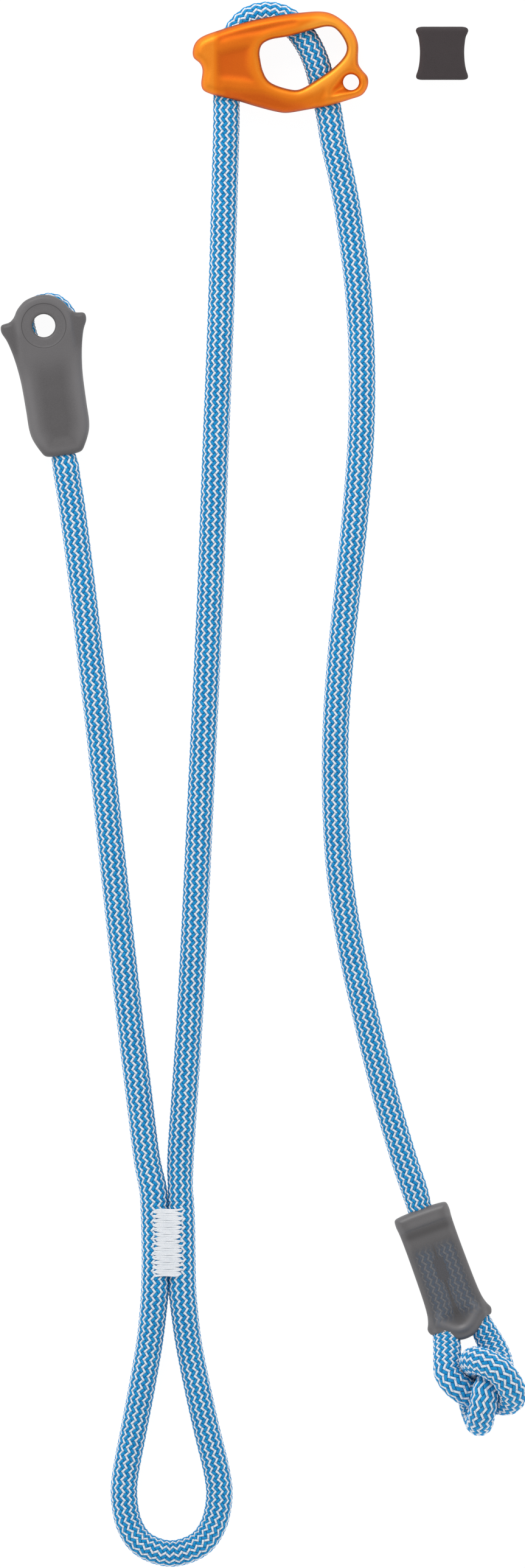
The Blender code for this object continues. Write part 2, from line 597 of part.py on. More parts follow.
def make_keeper(finish):
    """The rubber keeper: a waisted band with a flat bore from end to end."""
    right = scaled(KEEPER_SIDE_SHARES, KEEPER_WIDTH / 2, KEEPER_HEIGHT)
    outline = rounded_outline(mirrored(right))
    body = rounded_plate("keeper", outline, KEEPER_THICKNESS, KEEPER_ROUNDING, finish)
    placed(body, (KEEPER_X, KEEPER_Y, 0))
    across = KEEPER_BORE_WIDTH / 2 - KEEPER_BORE_ROUNDING
    up = KEEPER_BORE_HEIGHT / 2 - KEEPER_BORE_ROUNDING
    corners = []
    for side in range(BORE_SIDES):
        angle = math.tau * (side + 0.5) / BORE_SIDES
        x = math.copysign(across, math.cos(angle)) + KEEPER_BORE_ROUNDING * math.cos(angle)
        z = math.copysign(up, math.sin(angle)) + KEEPER_BORE_ROUNDING * math.sin(angle)
        corners.append(Vector((x, z)))
    half = KEEPER_HEIGHT / 2 + CUT_OVERRUN
    bore = prism("keeper_bore", corners, -half, half)
    bore.data.transform(Matrix.Rotation(math.pi / 2, 4, "X"))
    bore.data.transform(Matrix.Translation((KEEPER_X, KEEPER_Y, KEEPER_THICKNESS / 2)))
    cut(body, [bore])


def make_free_rope(finish):
    """The stretches of the rope between the adjuster, the stitching and the two ends."""
    tight = ROPE_TIGHT_SHARE
    rope("rope_left_arm", LEFT_ARM_ROUTE, finish, start=tight, end=tight)
    rope("rope_tie_in_loop", TIE_IN_LOOP_ROUTE, finish, LOOP_STEP, tight, tight)
    rope("rope_main_lower", MAIN_LOWER_ROUTE, finish, start=tight)
    rope("rope_main_upper", MAIN_UPPER_ROUTE, finish)
    rope("rope_adjuster_bend", ADJUSTER_BEND_ROUTE, finish, BEND_STEP)
    rope("rope_right_arm", RIGHT_ARM_ROUTE, finish, end=tight)
    for name, route in (
        ("rope_stitched_left", STITCHED_LEFT_ROUTE),
        ("rope_stitched_right", STITCHED_RIGHT_ROUTE),
    ):
        made = tube(name, [Vector(place) for place in route], ROPE_DIAMETER * tight)
        made.data.materials.append(finish)


clear_scene()
anodised = material("anodised_aluminium", (0.80, 0.24, 0.03), 0.35, 0.85)
braid = material("rope_braid", (0.20, 0.52, 0.80), 0.85)
moulded = material("moulded_sleeve", (0.12, 0.11, 0.11), 0.45)
rubber = material("keeper_rubber", (0.06, 0.05, 0.05), 0.80)
thread = material("sewing_thread", (0.85, 0.87, 0.89), 0.75)
make_free_rope(braid)
make_adjuster(anodised)
make_left_end(moulded, braid, thread)
make_right_end(moulded, braid, thread)
make_tie_in_tacks(thread)
make_keeper(rubber)
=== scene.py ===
# %% [markdown]
# A tree climber's lanyard, laid out flat and seen from straight above. One blue and white rope
# runs from a sewn eye in a moulded sleeve, down to a stitched tie-in loop, back up through an
# orange adjuster, and down to a second sewn end whose eye is tied in a stopper knot. The CAD
# model gives every place and size. This script dresses it: it weaves the rope's sheath as real
# geometry, forms the soft edges of the forging and the mouldings, and gives each its material.

# %% Load the CAD frame
import math

import bmesh
import bpy
import numpy as np
from mathutils import Matrix, Vector


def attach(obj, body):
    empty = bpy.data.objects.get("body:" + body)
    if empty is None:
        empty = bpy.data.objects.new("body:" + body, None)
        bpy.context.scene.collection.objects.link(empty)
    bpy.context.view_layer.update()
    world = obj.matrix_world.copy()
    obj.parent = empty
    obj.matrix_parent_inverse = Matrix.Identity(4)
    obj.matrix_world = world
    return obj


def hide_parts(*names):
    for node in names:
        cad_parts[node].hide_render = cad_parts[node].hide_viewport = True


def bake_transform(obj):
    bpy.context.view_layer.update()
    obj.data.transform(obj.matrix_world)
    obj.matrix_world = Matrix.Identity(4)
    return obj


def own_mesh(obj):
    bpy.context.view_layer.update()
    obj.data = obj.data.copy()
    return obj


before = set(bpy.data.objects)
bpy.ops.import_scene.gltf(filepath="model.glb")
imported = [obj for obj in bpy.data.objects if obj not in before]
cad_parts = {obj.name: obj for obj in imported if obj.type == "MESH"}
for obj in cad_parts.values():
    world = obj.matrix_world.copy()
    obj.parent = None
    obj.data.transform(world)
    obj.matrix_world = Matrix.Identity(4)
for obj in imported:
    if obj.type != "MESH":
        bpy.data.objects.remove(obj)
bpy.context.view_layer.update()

# %% [markdown]
# The photograph looks straight down and shows no perspective, so the camera is orthographic.
# One pixel of it is 0.2273 mm, because the rope is 44 pixels wide and 10 mm thick. The picture
# is taller than wide, so its height sets the camera's scale.

# %% Camera
MM = 0.001
PIXEL = 0.010 / 44
PICTURE_HEIGHT = 2576
PICTURE_MIDDLE = (0.01352, -0.26773)
CAMERA_HEIGHT = 1.2


def placed(name, data):
    """A new object in the scene with this mesh, lamp or camera."""
    item = bpy.data.objects.new(name, data)
    bpy.context.scene.collection.objects.link(item)
    return item


camera = placed("camera", bpy.data.cameras.new("camera"))
camera.data.type = "ORTHO"
camera.data.ortho_scale = PICTURE_HEIGHT * PIXEL
camera.location = (*PICTURE_MIDDLE, CAMERA_HEIGHT)
bpy.context.scene.camera = camera

# %% [markdown]
# The rope's middle line is a list of points in millimetres, the same ones as in the CAD source. A
# second table gives its thickness at each, as a share of its 10 mm: sleeves squeeze it, and
# stitches and the knot spread it. Each list starts where the one before it ends, so together
# they are the whole rope. The points were read off the photograph. Those of the knot were not
# chosen by hand: a separate calculation pushed places picked over the photograph apart until the
# strands cleared each other, and its result stands here to half a millimetre.

# %% The rope's route
ROPE_DIAMETER = 0.010
ROUTES = {
    "left_eye": [
        (-68.0, -129.1, 6.2), (-69.1, -122.4, 6.2), (-70.9, -112.3, 6.2), (-73.4, -105.3, 6.2),
        (-75.4, -96.8, 6.2), (-74.9, -92.6, 6.2), (-72.4, -89.2, 6.2), (-68.6, -87.6, 6.2),
        (-64.4, -88.0, 6.2), (-61.0, -90.5, 6.2), (-59.3, -94.3, 6.2), (-60.6, -103.3, 6.2),
        (-60.9, -110.7, 6.2), (-59.6, -120.9, 6.2), (-58.0, -131.0, 6.2), (-59.9, -136.0, 6.2),
        (-61.2, -140.8, 6.2),
    ],
    "left_arm_top": [
        (-60.8, -145.0, 6.2), (-60.0, -149.1, 6.2), (-59.4, -153.2, 5.8), (-57.4, -165.9, 5.0),
        (-53.9, -193.2, 5.0), (-50.7, -220.5, 5.0), (-47.5, -247.7, 5.0),
    ],
    "left_arm_foot": [
        (-44.7, -275.0, 5.0), (-41.8, -302.3, 5.0), (-38.9, -329.5, 5.0), (-35.9, -356.8, 5.0),
        (-32.6, -384.1, 5.0), (-29.8, -406.8, 5.5), (-27.5, -418.2, 6.3),
    ],
    "stitched_left": [
        (-26.9, -424.1, 6.3), (-26.6, -433.0, 6.3), (-26.4, -445.0, 6.3),
    ],
    "tie_in_loop": [
        (-26.6, -455.0, 6.3), (-27.0, -461.4, 6.0), (-28.6, -475.9, 5.0), (-31.4, -492.3, 5.0),
        (-34.5, -508.6, 5.0), (-37.6, -525.0, 5.0), (-38.1, -534.5, 5.0), (-36.1, -544.5, 5.0),
        (-30.7, -551.8, 5.0), (-20.7, -555.0, 5.0), (-10.5, -551.8, 5.0), (-4.9, -544.5, 5.0),
        (-2.7, -534.5, 5.0), (-3.5, -525.0, 5.0), (-7.4, -508.6, 5.0), (-11.0, -492.3, 5.0),
        (-14.2, -475.9, 5.0), (-16.0, -461.4, 6.0),
    ],
    "stitched_right": [
        (-16.5, -455.0, 6.3), (-16.7, -445.0, 6.3), (-16.9, -433.0, 6.3),
    ],
    "main_foot": [
        (-17.0, -424.1, 6.3), (-17.2, -418.2, 6.3), (-17.1, -406.8, 5.5), (-15.6, -384.1, 5.0),
        (-13.8, -356.8, 5.0), (-12.3, -329.5, 5.0), (-11.0, -302.3, 5.0),
    ],
    "main_top": [
        (-9.7, -274.8, 5.0), (-8.4, -247.7, 5.0), (-7.1, -220.5, 5.0), (-5.9, -193.2, 5.0),
        (-4.9, -165.9, 5.0), (-3.9, -138.6, 5.0), (-2.8, -111.4, 5.0), (-1.8, -84.1, 5.0),
        (-1.0, -56.8, 5.2), (-0.5, -38.6, 6.0), (-0.1, -25.0, 7.7), (0.0, -18.2, 8.7),
    ],
    "adjuster_bend": [
        (0.0, -12.9, 9.0), (0.1, -2.3, 9.0), (1.1, 5.7, 9.0), (4.1, 13.2, 9.0), (9.1, 18.0, 9.0),
        (15.5, 19.5, 9.0), (21.8, 18.0, 9.0), (27.0, 13.6, 9.0), (31.1, 7.5, 9.0),
        (33.9, 0.9, 9.0), (35.7, -5.9, 9.0), (37.0, -11.5, 9.0),
    ],
    "right_arm_top": [
        (37.9, -15.0, 9.0), (38.9, -20.5, 8.7), (40.2, -28.6, 7.7), (43.0, -40.9, 6.0),
        (45.9, -56.8, 5.2), (49.3, -84.1, 5.0), (50.7, -111.4, 5.0), (50.3, -138.6, 5.0),
        (48.3, -165.9, 5.0), (45.5, -193.2, 5.0),
    ],
    "right_arm_foot": [
        (42.7, -220.5, 5.0), (40.9, -247.7, 5.0), (40.8, -275.0, 5.0), (42.5, -302.3, 5.0),
        (46.7, -329.5, 5.0), (52.7, -356.8, 5.0), (59.5, -384.1, 5.0), (66.1, -406.8, 5.0),
        (70.2, -419.0, 5.8),
    ],
    "right_end": [
        (72.2, -426.1, 6.2), (73.1, -429.3, 6.2), (72.7, -433.0, 6.2), (72.1, -436.5, 6.2),
        (72.5, -441.0, 6.2), (75.7, -450.2, 6.2), (79.5, -461.5, 6.2), (81.0, -467.5, 6.2),
        (82.0, -473.0, 6.5), (82.5, -478.0, 9.0), (82.5, -483.0, 12.5), (83.0, -488.0, 15.5),
        (86.5, -492.5, 17.0), (91.5, -495.5, 15.5), (97.0, -496.3, 13.5), (102.0, -498.0, 15.0),
        (105.5, -498.0, 20.0), (107.0, -495.5, 25.5), (105.5, -491.5, 29.5),
        (102.0, -487.0, 31.0), (97.0, -484.0, 29.0), (93.5, -483.0, 24.5), (92.2, -483.5, 18.5),
        (92.3, -485.5, 13.0), (92.0, -488.5, 8.0), (91.0, -493.5, 5.2), (92.0, -499.5, 5.2),
        (93.5, -504.0, 8.5), (94.5, -506.0, 14.0), (95.0, -504.5, 20.0), (96.0, -500.0, 24.0),
        (97.0, -494.5, 24.5), (99.5, -490.0, 21.0), (102.0, -487.5, 16.5), (102.0, -484.5, 11.5),
        (100.5, -480.0, 8.0), (98.0, -475.0, 6.0), (95.0, -469.5, 6.0), (89.4, -459.4, 6.2),
        (84.8, -447.2, 6.2), (81.3, -437.4, 6.2),
    ],
}
THICKNESS_SHARES = {
    "left_eye": [0.92] * 3 + [0.90, 0.80, 0.72, 0.56, 0.60] + [0.70] * 3 + [0.92] * 6,
    "left_arm_top": [0.92] + [1.00] * 6,
    "left_arm_foot": [1.00] * 6 + [1.04],
    "stitched_left": [1.05] * 3,
    "tie_in_loop": [1.05, 1.03] + [1.00] * 15 + [1.03],
    "stitched_right": [1.05] * 3,
    "main_foot": [1.00, 0.95] + [1.00] * 5,
    "main_top": [1.00] * 12,
    "adjuster_bend": [1.00] * 12,
    "right_arm_top": [1.00] * 10,
    "right_arm_foot": [1.00] * 9,
    "right_end": (
        [0.92] * 8 + [1.00] + [1.06] * 16 + [1.02] * 2 + [1.04] * 4 + [1.06] * 5 + [1.00] + [0.92] * 4
    ),
}


def smooth_line(points, steps):
    """Catmull-Rom points through the given ones, in any number of dimensions."""
    points = np.array(points, float)
    padded = np.vstack([2 * points[0] - points[1], points, 2 * points[-1] - points[-2]])
    t = np.linspace(0, 1, steps, endpoint=False)[:, None]
    made = []
    for before, start, end, after in zip(padded, padded[1:], padded[2:], padded[3:]):
        swing = (end - before) * t + (2 * before - 5 * start + 4 * end - after) * t**2
        made.append(start + (swing + (3 * start - before - 3 * end + after) * t**3) / 2)
    return np.vstack([*made, points[-1:]])


LINE_STEPS = 40
places = np.array([place for route in ROUTES.values() for place in route])
places = np.round(places * MM, 4)
shares = [share for name in ROUTES for share in THICKNESS_SHARES[name]]
line = smooth_line(np.column_stack([places, shares]), LINE_STEPS)
steps = np.linalg.norm(np.diff(line[:, :3], axis=0), axis=1)
reached = np.concatenate([[0.0], np.cumsum(steps)])
counts = [len(route) for route in ROUTES.values()]
starts = reached[np.cumsum([0, *counts[:-1]]) * LINE_STEPS]
print(f"the whole rope is {reached[-1]:.3f} m long")

# %% [markdown]
# A tube needs a sideways direction at each point of its line that never flips. The usual trick
# is to carry the direction along: at each step, the part that has come to point along the line
# is taken out, and nothing else is changed. So the weave doesn't twist in the bends.

# %% A steady sideways direction
along = np.gradient(line[:, :3], axis=0)
along /= np.linalg.norm(along, axis=1)[:, None]
sideways = np.empty_like(along)
current = np.array((1.0, 0.0, 0.0))
for number, direction in enumerate(along):
    current = current - direction * (current @ direction)
    current /= np.linalg.norm(current)
    sideways[number] = current
upwards = np.cross(along, sideways)


def on_line(track, at):
    """The track's three coordinates at one or more distances along the rope."""
    return np.stack([np.interp(at, reached, track[:, axis]) for axis in range(3)], axis=-1)

# %% [markdown]
# The sheath is braided: 22 yarns wind one way and 22 the other, each over two and under two.
# Where a yarn is on top it shows as a slanted float. Here all floats in one ring slant the same
# way and those in the next ring the other way, and every second yarn is white. So the colours
# run along the rope as zigzags. A flat sheet is gridded, and poke puts a point in the middle
# of each small rectangle. Its four triangles then follow the slanted borders of the floats, so
# that each triangle belongs to one float, which gives crisp colours.

# %% Weave the sheath
YARNS = 22
LEVEL = 0.00076
FLOAT_HEIGHT = 0.00036
WHITE_SLIM = 0.20
SAME_PLACE = 1e-6


def is_one_way(level):
    return np.mod(level, 4) < 2


def is_white(across, level):
    """Whether the yarn on top in the cell with this middle is white. Both are whole numbers."""
    one_way = is_one_way(level)
    yarn = np.where(one_way, level - across, level + across + 2) // 2
    return np.mod(yarn, 2) == 1


def flat_sheath(first, last):
    """A poked grid from one level to another: x is in half yarns round, y in levels along."""
    bm = bmesh.new()
    bmesh.ops.create_grid(bm, x_segments=2 * YARNS, y_segments=last - first, size=0.5)
    for vert in bm.verts:
        vert.co.x = round((vert.co.x + 0.5) * 2 * YARNS)
        vert.co.y = round((vert.co.y + 0.5) * (last - first)) + first
    bmesh.ops.poke(bm, faces=bm.faces)
    return bm


def cell_of(x, y):
    """Whether each point is a cell's corner, and an even one; its cell; and which way that slants."""
    whole = np.isclose(x, np.round(x))
    even = np.isclose(np.mod(np.round(x) + np.round(y), 2), 0)
    m, n = np.floor(x), np.floor(y)
    return whole, even, m, n, np.mod(m + n, 2) == 0


def yarn_heights(x, y):
    """How proud each point is, from 0 in the valleys to 1 on the floats."""
    whole, even, _, n, rising = cell_of(x, y)
    inside = np.where(rising, np.mod(n, 4) == 0, np.mod(n, 4) == 2)
    return np.where(whole, even, inside).astype(float)


def slim_white(x, y):
    """Move the floats' borders towards the white ones, because the white yarns are thinner."""
    whole, even, m, n, rising = cell_of(x, y)
    lower = is_white(np.where(rising, m, m + 1), n)
    upper = is_white(np.where(rising, m + 1, m), n + 1)
    pull = upper.astype(float) - lower.astype(float)
    dx = np.where(whole, 0, pull * np.where(rising, 1, -1) * 0.5)
    dy = np.where(whole, 0, pull * 0.5)
    left, right = is_white(x - 1, y).astype(float), is_white(x + 1, y).astype(float)
    below, above = is_white(x, y - 1).astype(float), is_white(x, y + 1).astype(float)
    dx = np.where(whole & ~even, (right - left) * 0.5, dx)
    dy = np.where(whole & ~even, (above - below) * 0.5, dy)
    return x + dx * WHITE_SLIM, y + dy * WHITE_SLIM


def marked(mesh, x, y):
    """Give each triangle its yarn's material, and a map across and along its float."""
    corners = np.empty(len(mesh.loops), int)
    mesh.loops.foreach_get("vertex_index", corners)
    corner_x, corner_y = x[corners].reshape(-1, 3), y[corners].reshape(-1, 3)
    middle = np.isclose(corner_x, np.round(corner_x)) & np.isclose(
        np.mod(np.round(corner_x + corner_y), 2), 0
    )
    pick = np.argmax(middle, axis=1)[:, None]
    cell_x = np.take_along_axis(corner_x, pick, 1)
    cell_y = np.take_along_axis(corner_y, pick, 1)
    mesh.polygons.foreach_set("material_index", is_white(cell_x, cell_y)[:, 0].astype(int))
    run = np.where(is_one_way(cell_y), 1, -1) * (corner_x - cell_x)
    step = corner_y - cell_y
    length = np.where(np.mod(cell_y, 2) == 0, 0.0, 2.0) + run + step + 1
    yarn_map = mesh.uv_layers.new(name="yarn")
    places = np.stack([(run - step + 1) / 2, length / 4], axis=-1)
    yarn_map.data.foreach_set("uv", places.ravel())


def wrapped(x, y):
    """Where the sheet's points lie once it is wrapped round the rope's line."""
    proud = yarn_heights(x, y)
    x, y = slim_white(x, y)
    at = np.clip(y * LEVEL, 0, reached[-1])
    centre, side, up = (on_line(track, at) for track in (line, sideways, upwards))
    radius = np.interp(at, reached, line[:, 3]) * ROPE_DIAMETER / 2
    radius = radius - FLOAT_HEIGHT * (1 - proud)
    turn = x * math.pi / YARNS
    return centre + (side * np.cos(turn)[:, None] + up * np.sin(turn)[:, None]) * radius[:, None]


def closed(bm):
    """Join a wrapped grid along its seam and close its ends, with a sharp edge round each."""
    bmesh.ops.remove_doubles(bm, verts=bm.verts, dist=SAME_PLACE)
    rims = [edge for edge in bm.edges if edge.is_boundary]
    for edge in rims:
        edge.smooth = False
    bmesh.ops.holes_fill(bm, edges=rims, sides=0)
    bmesh.ops.recalc_face_normals(bm, faces=bm.faces)


def braided(name, first, last, blue, white):
    """The sheath between two levels of the whole rope, with closed ends."""
    bm = flat_sheath(first, last)
    mesh = bpy.data.meshes.new(name)
    bm.to_mesh(mesh)
    bm.free()
    flat = np.empty(len(mesh.vertices) * 3)
    mesh.vertices.foreach_get("co", flat)
    x, y = flat.reshape(-1, 3)[:, 0], flat.reshape(-1, 3)[:, 1]
    marked(mesh, x, y)
    mesh.vertices.foreach_set("co", wrapped(x, y).ravel())
    bm = bmesh.new()
    bm.from_mesh(mesh)
    closed(bm)
    bm.to_mesh(mesh)
    bm.free()
    mesh.shade_smooth()
    woven = placed(name, mesh)
    woven.data.materials.append(blue)
    woven.data.materials.append(white)
    return woven

# %% [markdown]
# The finishes come from a few shared node groups. Each group reads the surface and puts out
# plain values, and the Principled shader that uses them stays in the material.

# %% Helpers for materials
def new_group(name, inputs, outputs):
    """An empty shader group with these named sockets; returns it with its two end nodes."""
    group = bpy.data.node_groups.new(name, "ShaderNodeTree")
    for label, value in inputs.items():
        socket = group.interface.new_socket(label, in_out="INPUT", socket_type="NodeSocketFloat")
        socket.default_value = value
    for label in outputs:
        group.interface.new_socket(label, in_out="OUTPUT", socket_type="NodeSocketFloat")
    return group, group.nodes.new("NodeGroupInput"), group.nodes.new("NodeGroupOutput")


def put(tree, kind, settings=None, **inputs):
    """Add a node, set it up, and link or set its inputs by name."""
    node = tree.nodes.new(kind)
    for name, value in (settings or {}).items():
        setattr(node, name, value)
    for name, value in inputs.items():
        socket = node.inputs[int(name[1:]) if name[1:].isdigit() else name.replace("_", " ")]
        if isinstance(value, bpy.types.NodeSocket):
            tree.links.new(value, socket)
        else:
            socket.default_value = value
    return node


def sum_of(tree, kind, first, second=0.5, third=0.5):
    return put(tree, "ShaderNodeMath", {"operation": kind}, i0=first, i1=second, i2=third).outputs[0]


def faded(tree, value, low, high):
    """0 below low, 1 above high, and smooth in between."""
    settings = {"interpolation_type": "SMOOTHSTEP"}
    node = put(tree, "ShaderNodeMapRange", settings, Value=value, From_Min=low, From_Max=high)
    return node.outputs["Result"]

# %% [markdown]
# Each float of the weave carries its own map: u runs across it and v along it. So the group can
# round the float's back, draw the fibres that lie along it, and paint shade on its borders, in the
# crevice where one yarn dives under the next. A second noise in the rope's own space makes no two
# floats alike.

# %% The yarn group
# where the painted crevice shade starts, across a float and along it
CREVICE_SIDES = 0.72
CREVICE_ENDS = 0.74
FIBRE_SCALE = (7.0, 0.8, 1.0)
FIBRE_SPREAD = 150
FIBRE_RELIEF = 0.35
TONE_SCALE = 260.0

yarn, _, out = new_group("yarn", {}, ("Height", "Seam", "Shade"))
place = put(yarn, "ShaderNodeUVMap", {"uv_map": "yarn"}).outputs["UV"]
parts = put(yarn, "ShaderNodeSeparateXYZ", Vector=place)
across = sum_of(yarn, "ABSOLUTE", sum_of(yarn, "MULTIPLY_ADD", parts.outputs["X"], 2.0, -1.0))
length = sum_of(yarn, "ABSOLUTE", sum_of(yarn, "MULTIPLY_ADD", parts.outputs["Y"], 2.0, -1.0))
# the crevice mask for the painted shade at each float's borders
edges = [faded(yarn, away, start, 1.0) for away, start in ((across, CREVICE_SIDES), (length, CREVICE_ENDS))]
crevice_shade = sum_of(yarn, "MAXIMUM", *edges)
stretched = put(yarn, "ShaderNodeMapping", Vector=place, Scale=FIBRE_SCALE).outputs["Vector"]
spot = put(yarn, "ShaderNodeTexCoord").outputs["Object"]
spread = put(yarn, "ShaderNodeMapping", Vector=spot, Scale=3 * (FIBRE_SPREAD,)).outputs["Vector"]
lookup = put(yarn, "ShaderNodeVectorMath", {"operation": "ADD"}, i0=stretched, i1=spread).outputs[0]
fibres = put(yarn, "ShaderNodeTexNoise", Vector=lookup, Scale=1.0, Detail=3.0).outputs["Fac"]
painted_light_and_tone = put(yarn, "ShaderNodeTexNoise", Vector=spot, Scale=TONE_SCALE, Detail=2.0).outputs["Fac"]
crown = sum_of(yarn, "SUBTRACT", 1.0, sum_of(yarn, "POWER", across, 2.0))
ends = sum_of(yarn, "SUBTRACT", 1.0, sum_of(yarn, "POWER", length, 5.0))
form = sum_of(yarn, "MULTIPLY", crown, ends)
yarn.links.new(sum_of(yarn, "MULTIPLY_ADD", fibres, FIBRE_RELIEF, form), out.inputs["Height"])
yarn.links.new(crevice_shade, out.inputs["Seam"])
yarn.links.new(sum_of(yarn, "ADD", fibres, sum_of(yarn, "SUBTRACT", painted_light_and_tone, 0.5)), out.inputs["Shade"])

# %% [markdown]
# The second group is a fine grain, with two sizes of noise. The forging, the mouldings and the
# rubber all use it, each with its own size and strength.

# %% The grain group
BROADER = 24.0
BROAD_SHARE = 0.35

grain, given, out = new_group("grain", {"Size": 1.0}, ("Height", "Shade"))
spot = put(grain, "ShaderNodeTexCoord").outputs["Object"]
scale = sum_of(grain, "DIVIDE", 1.0, sum_of(grain, "MULTIPLY", given.outputs["Size"], MM))
fine = put(grain, "ShaderNodeTexNoise", Vector=spot, Scale=scale, Detail=2.0).outputs["Fac"]
slow = sum_of(grain, "DIVIDE", scale, BROADER)
broad = put(grain, "ShaderNodeTexNoise", Vector=spot, Scale=slow, Detail=3.0).outputs["Fac"]
grain.links.new(fine, out.inputs["Height"])
cloud = sum_of(grain, "MULTIPLY", broad, BROAD_SHARE)
grain.links.new(sum_of(grain, "MULTIPLY_ADD", fine, 1 - BROAD_SHARE, cloud), out.inputs["Shade"])

# %% [markdown]
# Each material fades through its own few colours by the group's shade, and takes its bump from
# the group's height. The colours are linear values, tuned until renders came near the photo. A
# formed piece can carry painted light and shade of its own: one number per point, which is high
# where a painted highlight goes and low where painted shade goes, and which the material mixes in
# before the grain.

# %% Yarn, thread and plain finishes
def principled(name, roughness, **constants):
    made_material = bpy.data.materials.new(name)
    made_material.use_nodes = True
    shader = made_material.node_tree.nodes["Principled BSDF"]
    shader.inputs["Roughness"].default_value = roughness
    for label, value in constants.items():
        shader.inputs[label.replace("_", " ")].default_value = value
    return made_material, made_material.node_tree, shader


def blended(tree, share, low, high):
    mix = tree.nodes.new("ShaderNodeMix")
    mix.data_type = "RGBA"
    for socket, value in (("Factor", share), ("A", low), ("B", high)):
        found = [s for s in mix.inputs if s.name == socket and s.enabled][0]
        if isinstance(value, bpy.types.NodeSocket):
            tree.links.new(value, found)
        else:
            found.default_value = (*value, 1.0)
    return [s for s in mix.outputs if s.enabled][0]


def toned_colour(tree, painted_light_and_tone, colours):
    """Fade through the colours, which sit at even tones from 0 to 1."""
    pace = 1 / (len(colours) - 1)
    colour = colours[0]
    for number, next_colour in enumerate(colours[1:]):
        share = faded(tree, painted_light_and_tone, number * pace, (number + 1) * pace)
        colour = blended(tree, share, colour, next_colour)
    return colour


def from_points(tree, name):
    """A number that each point of the mesh carries."""
    return put(tree, "ShaderNodeAttribute", {"attribute_name": name}).outputs["Fac"]


def raised(tree, shader, height, distance):
    bump = put(tree, "ShaderNodeBump", Height=height, Distance=distance, Strength=1.0)
    tree.links.new(bump.outputs["Normal"], shader.inputs["Normal"])


def grouped(tree, group, **inputs):
    node = tree.nodes.new("ShaderNodeGroup")
    node.node_tree = group
    for label, value in inputs.items():
        node.inputs[label].default_value = value
    return node


YARN_RELIEF = 0.00030


def yarn_finish(name, dark, light, crevice_shade_colour):
    made_material, tree, shader = principled(name, 0.62, Sheen_Weight=0.04, Specular_IOR_Level=0.15)
    group = grouped(tree, yarn)
    body = blended(tree, group.outputs["Shade"], dark, light)
    # painted shade in the crevices between the floats
    colour = blended(tree, group.outputs["Seam"], body, crevice_shade_colour)
    tree.links.new(colour, shader.inputs["Base Color"])
    raised(tree, shader, group.outputs["Height"], YARN_RELIEF)
    return made_material


def grained(name, colours, size, depth, roughness, speckle=0.0, by_painted_light=False, **constants):
    made_material, tree, shader = principled(name, roughness, **constants)
    group = grouped(tree, grain, Size=size)
    share = faded(tree, group.outputs["Shade"], 0.25, 0.75)
    if by_painted_light:
        # each point's number is painted light and shade: high for a painted highlight, low for painted
        # shade
        painted_light_and_tone = from_points(tree, "painted_light_and_tone")
        swing = sum_of(tree, "MULTIPLY_ADD", share, speckle, -speckle / 2)
        share = sum_of(tree, "ADD", painted_light_and_tone, swing)
    tree.links.new(toned_colour(tree, share, colours), shader.inputs["Base Color"])
    raised(tree, shader, group.outputs["Height"], depth)
    return made_material


# the third colour of each yarn is the painted shade in its crevices
blue_yarn = yarn_finish("blue_yarn", (0.003, 0.22, 0.55), (0.015, 0.38, 0.78), (0.002, 0.080, 0.25))
white_yarn = yarn_finish("white_yarn", (0.76, 0.84, 0.95), (0.94, 0.97, 1.00), (0.34, 0.47, 0.68))

# %% [markdown]
# The rope is one length, but it moves in stretches. Each stretch that a fitting holds rides on
# the body of that fitting, and the upper stretch of the main strand rides on the tie-in.

# %% The rope's pieces
BODIES = {
    "left_eye": "left_end",
    "stitched_left": "tie_in",
    "stitched_right": "tie_in",
    "main_foot": "tie_in",
    "adjuster_bend": "adjuster",
    "right_end": "right_end",
}
NODES = {
    "left_eye": "rope_left_eye",
    "left_arm_top": "rope_left_arm",
    "stitched_left": "rope_stitched_left",
    "tie_in_loop": "rope_tie_in_loop",
    "stitched_right": "rope_stitched_right",
    "main_foot": "rope_main_lower",
    "main_top": "rope_main_upper",
    "adjuster_bend": "rope_adjuster_bend",
    "right_arm_top": "rope_right_arm",
    "right_end": "rope_right_end",
}
levels = [round(start / LEVEL) for start in starts] + [int(reached[-1] / LEVEL)]
rope = {}
for number, name in enumerate(ROUTES):
    first, last = levels[number], levels[number + 1]
    rope[name] = braided("braid_" + name, first, last, blue_yarn, white_yarn)
    print(name, "has", len(rope[name].data.polygons), "faces")
    if name in NODES:
        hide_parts(NODES[name])
    if name in BODIES:
        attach(rope[name], BODIES[name])

# %% Settle the stretches at the joints
BENDS = {
    "left_arm_foot": ("tie_in", "left_arm", (-0.0269, -0.4239, 0.0063), (-0.0326, -0.3841, 0.005)),
    "left_arm_top": ("left_arm", "left_end", (-0.0561, -0.1760, 0.0050), (-0.0608, -0.1450, 0.0062)),
    "tie_in_loop": ("tie_in", "tie_in_loop", (-0.0216, -0.4550, 0.0063), (-0.0212, -0.4880, 0.005)),
    "right_arm_top": ("adjuster", "right_arm", (0.0379, -0.0150, 0.0090), (0.0459, -0.0568, 0.0052)),
    "right_arm_foot": ("right_arm", "right_end", (0.0610, -0.3900, 0.0050), (0.0721, -0.4258, 0.0062)),
}

for name, (fixed, moving, start, end) in BENDS.items():
    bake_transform(rope[name])
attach(rope["main_top"], "tie_in")
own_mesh(rope["main_top"])
print(len(BENDS), "stretches bend at a joint")

# %% [markdown]
# The stretches that lie free are printed with their real length. The photograph
# shows the whole rope, so each length is measured along its own middle line. A stretch leaves a
# fitting, or the stretch before it, and always runs back into the object.

FREE = (
    "left_arm_top", "left_arm_foot", "tie_in_loop", "main_foot", "main_top",
    "right_arm_top", "right_arm_foot",
)
for name in FREE:
    number = list(ROUTES).index(name)
    first = starts[number]
    last = starts[number + 1]
    ends = on_line(line, np.array((first, last))).tolist()
    print(name, f"is {last - first:.3f} m long")

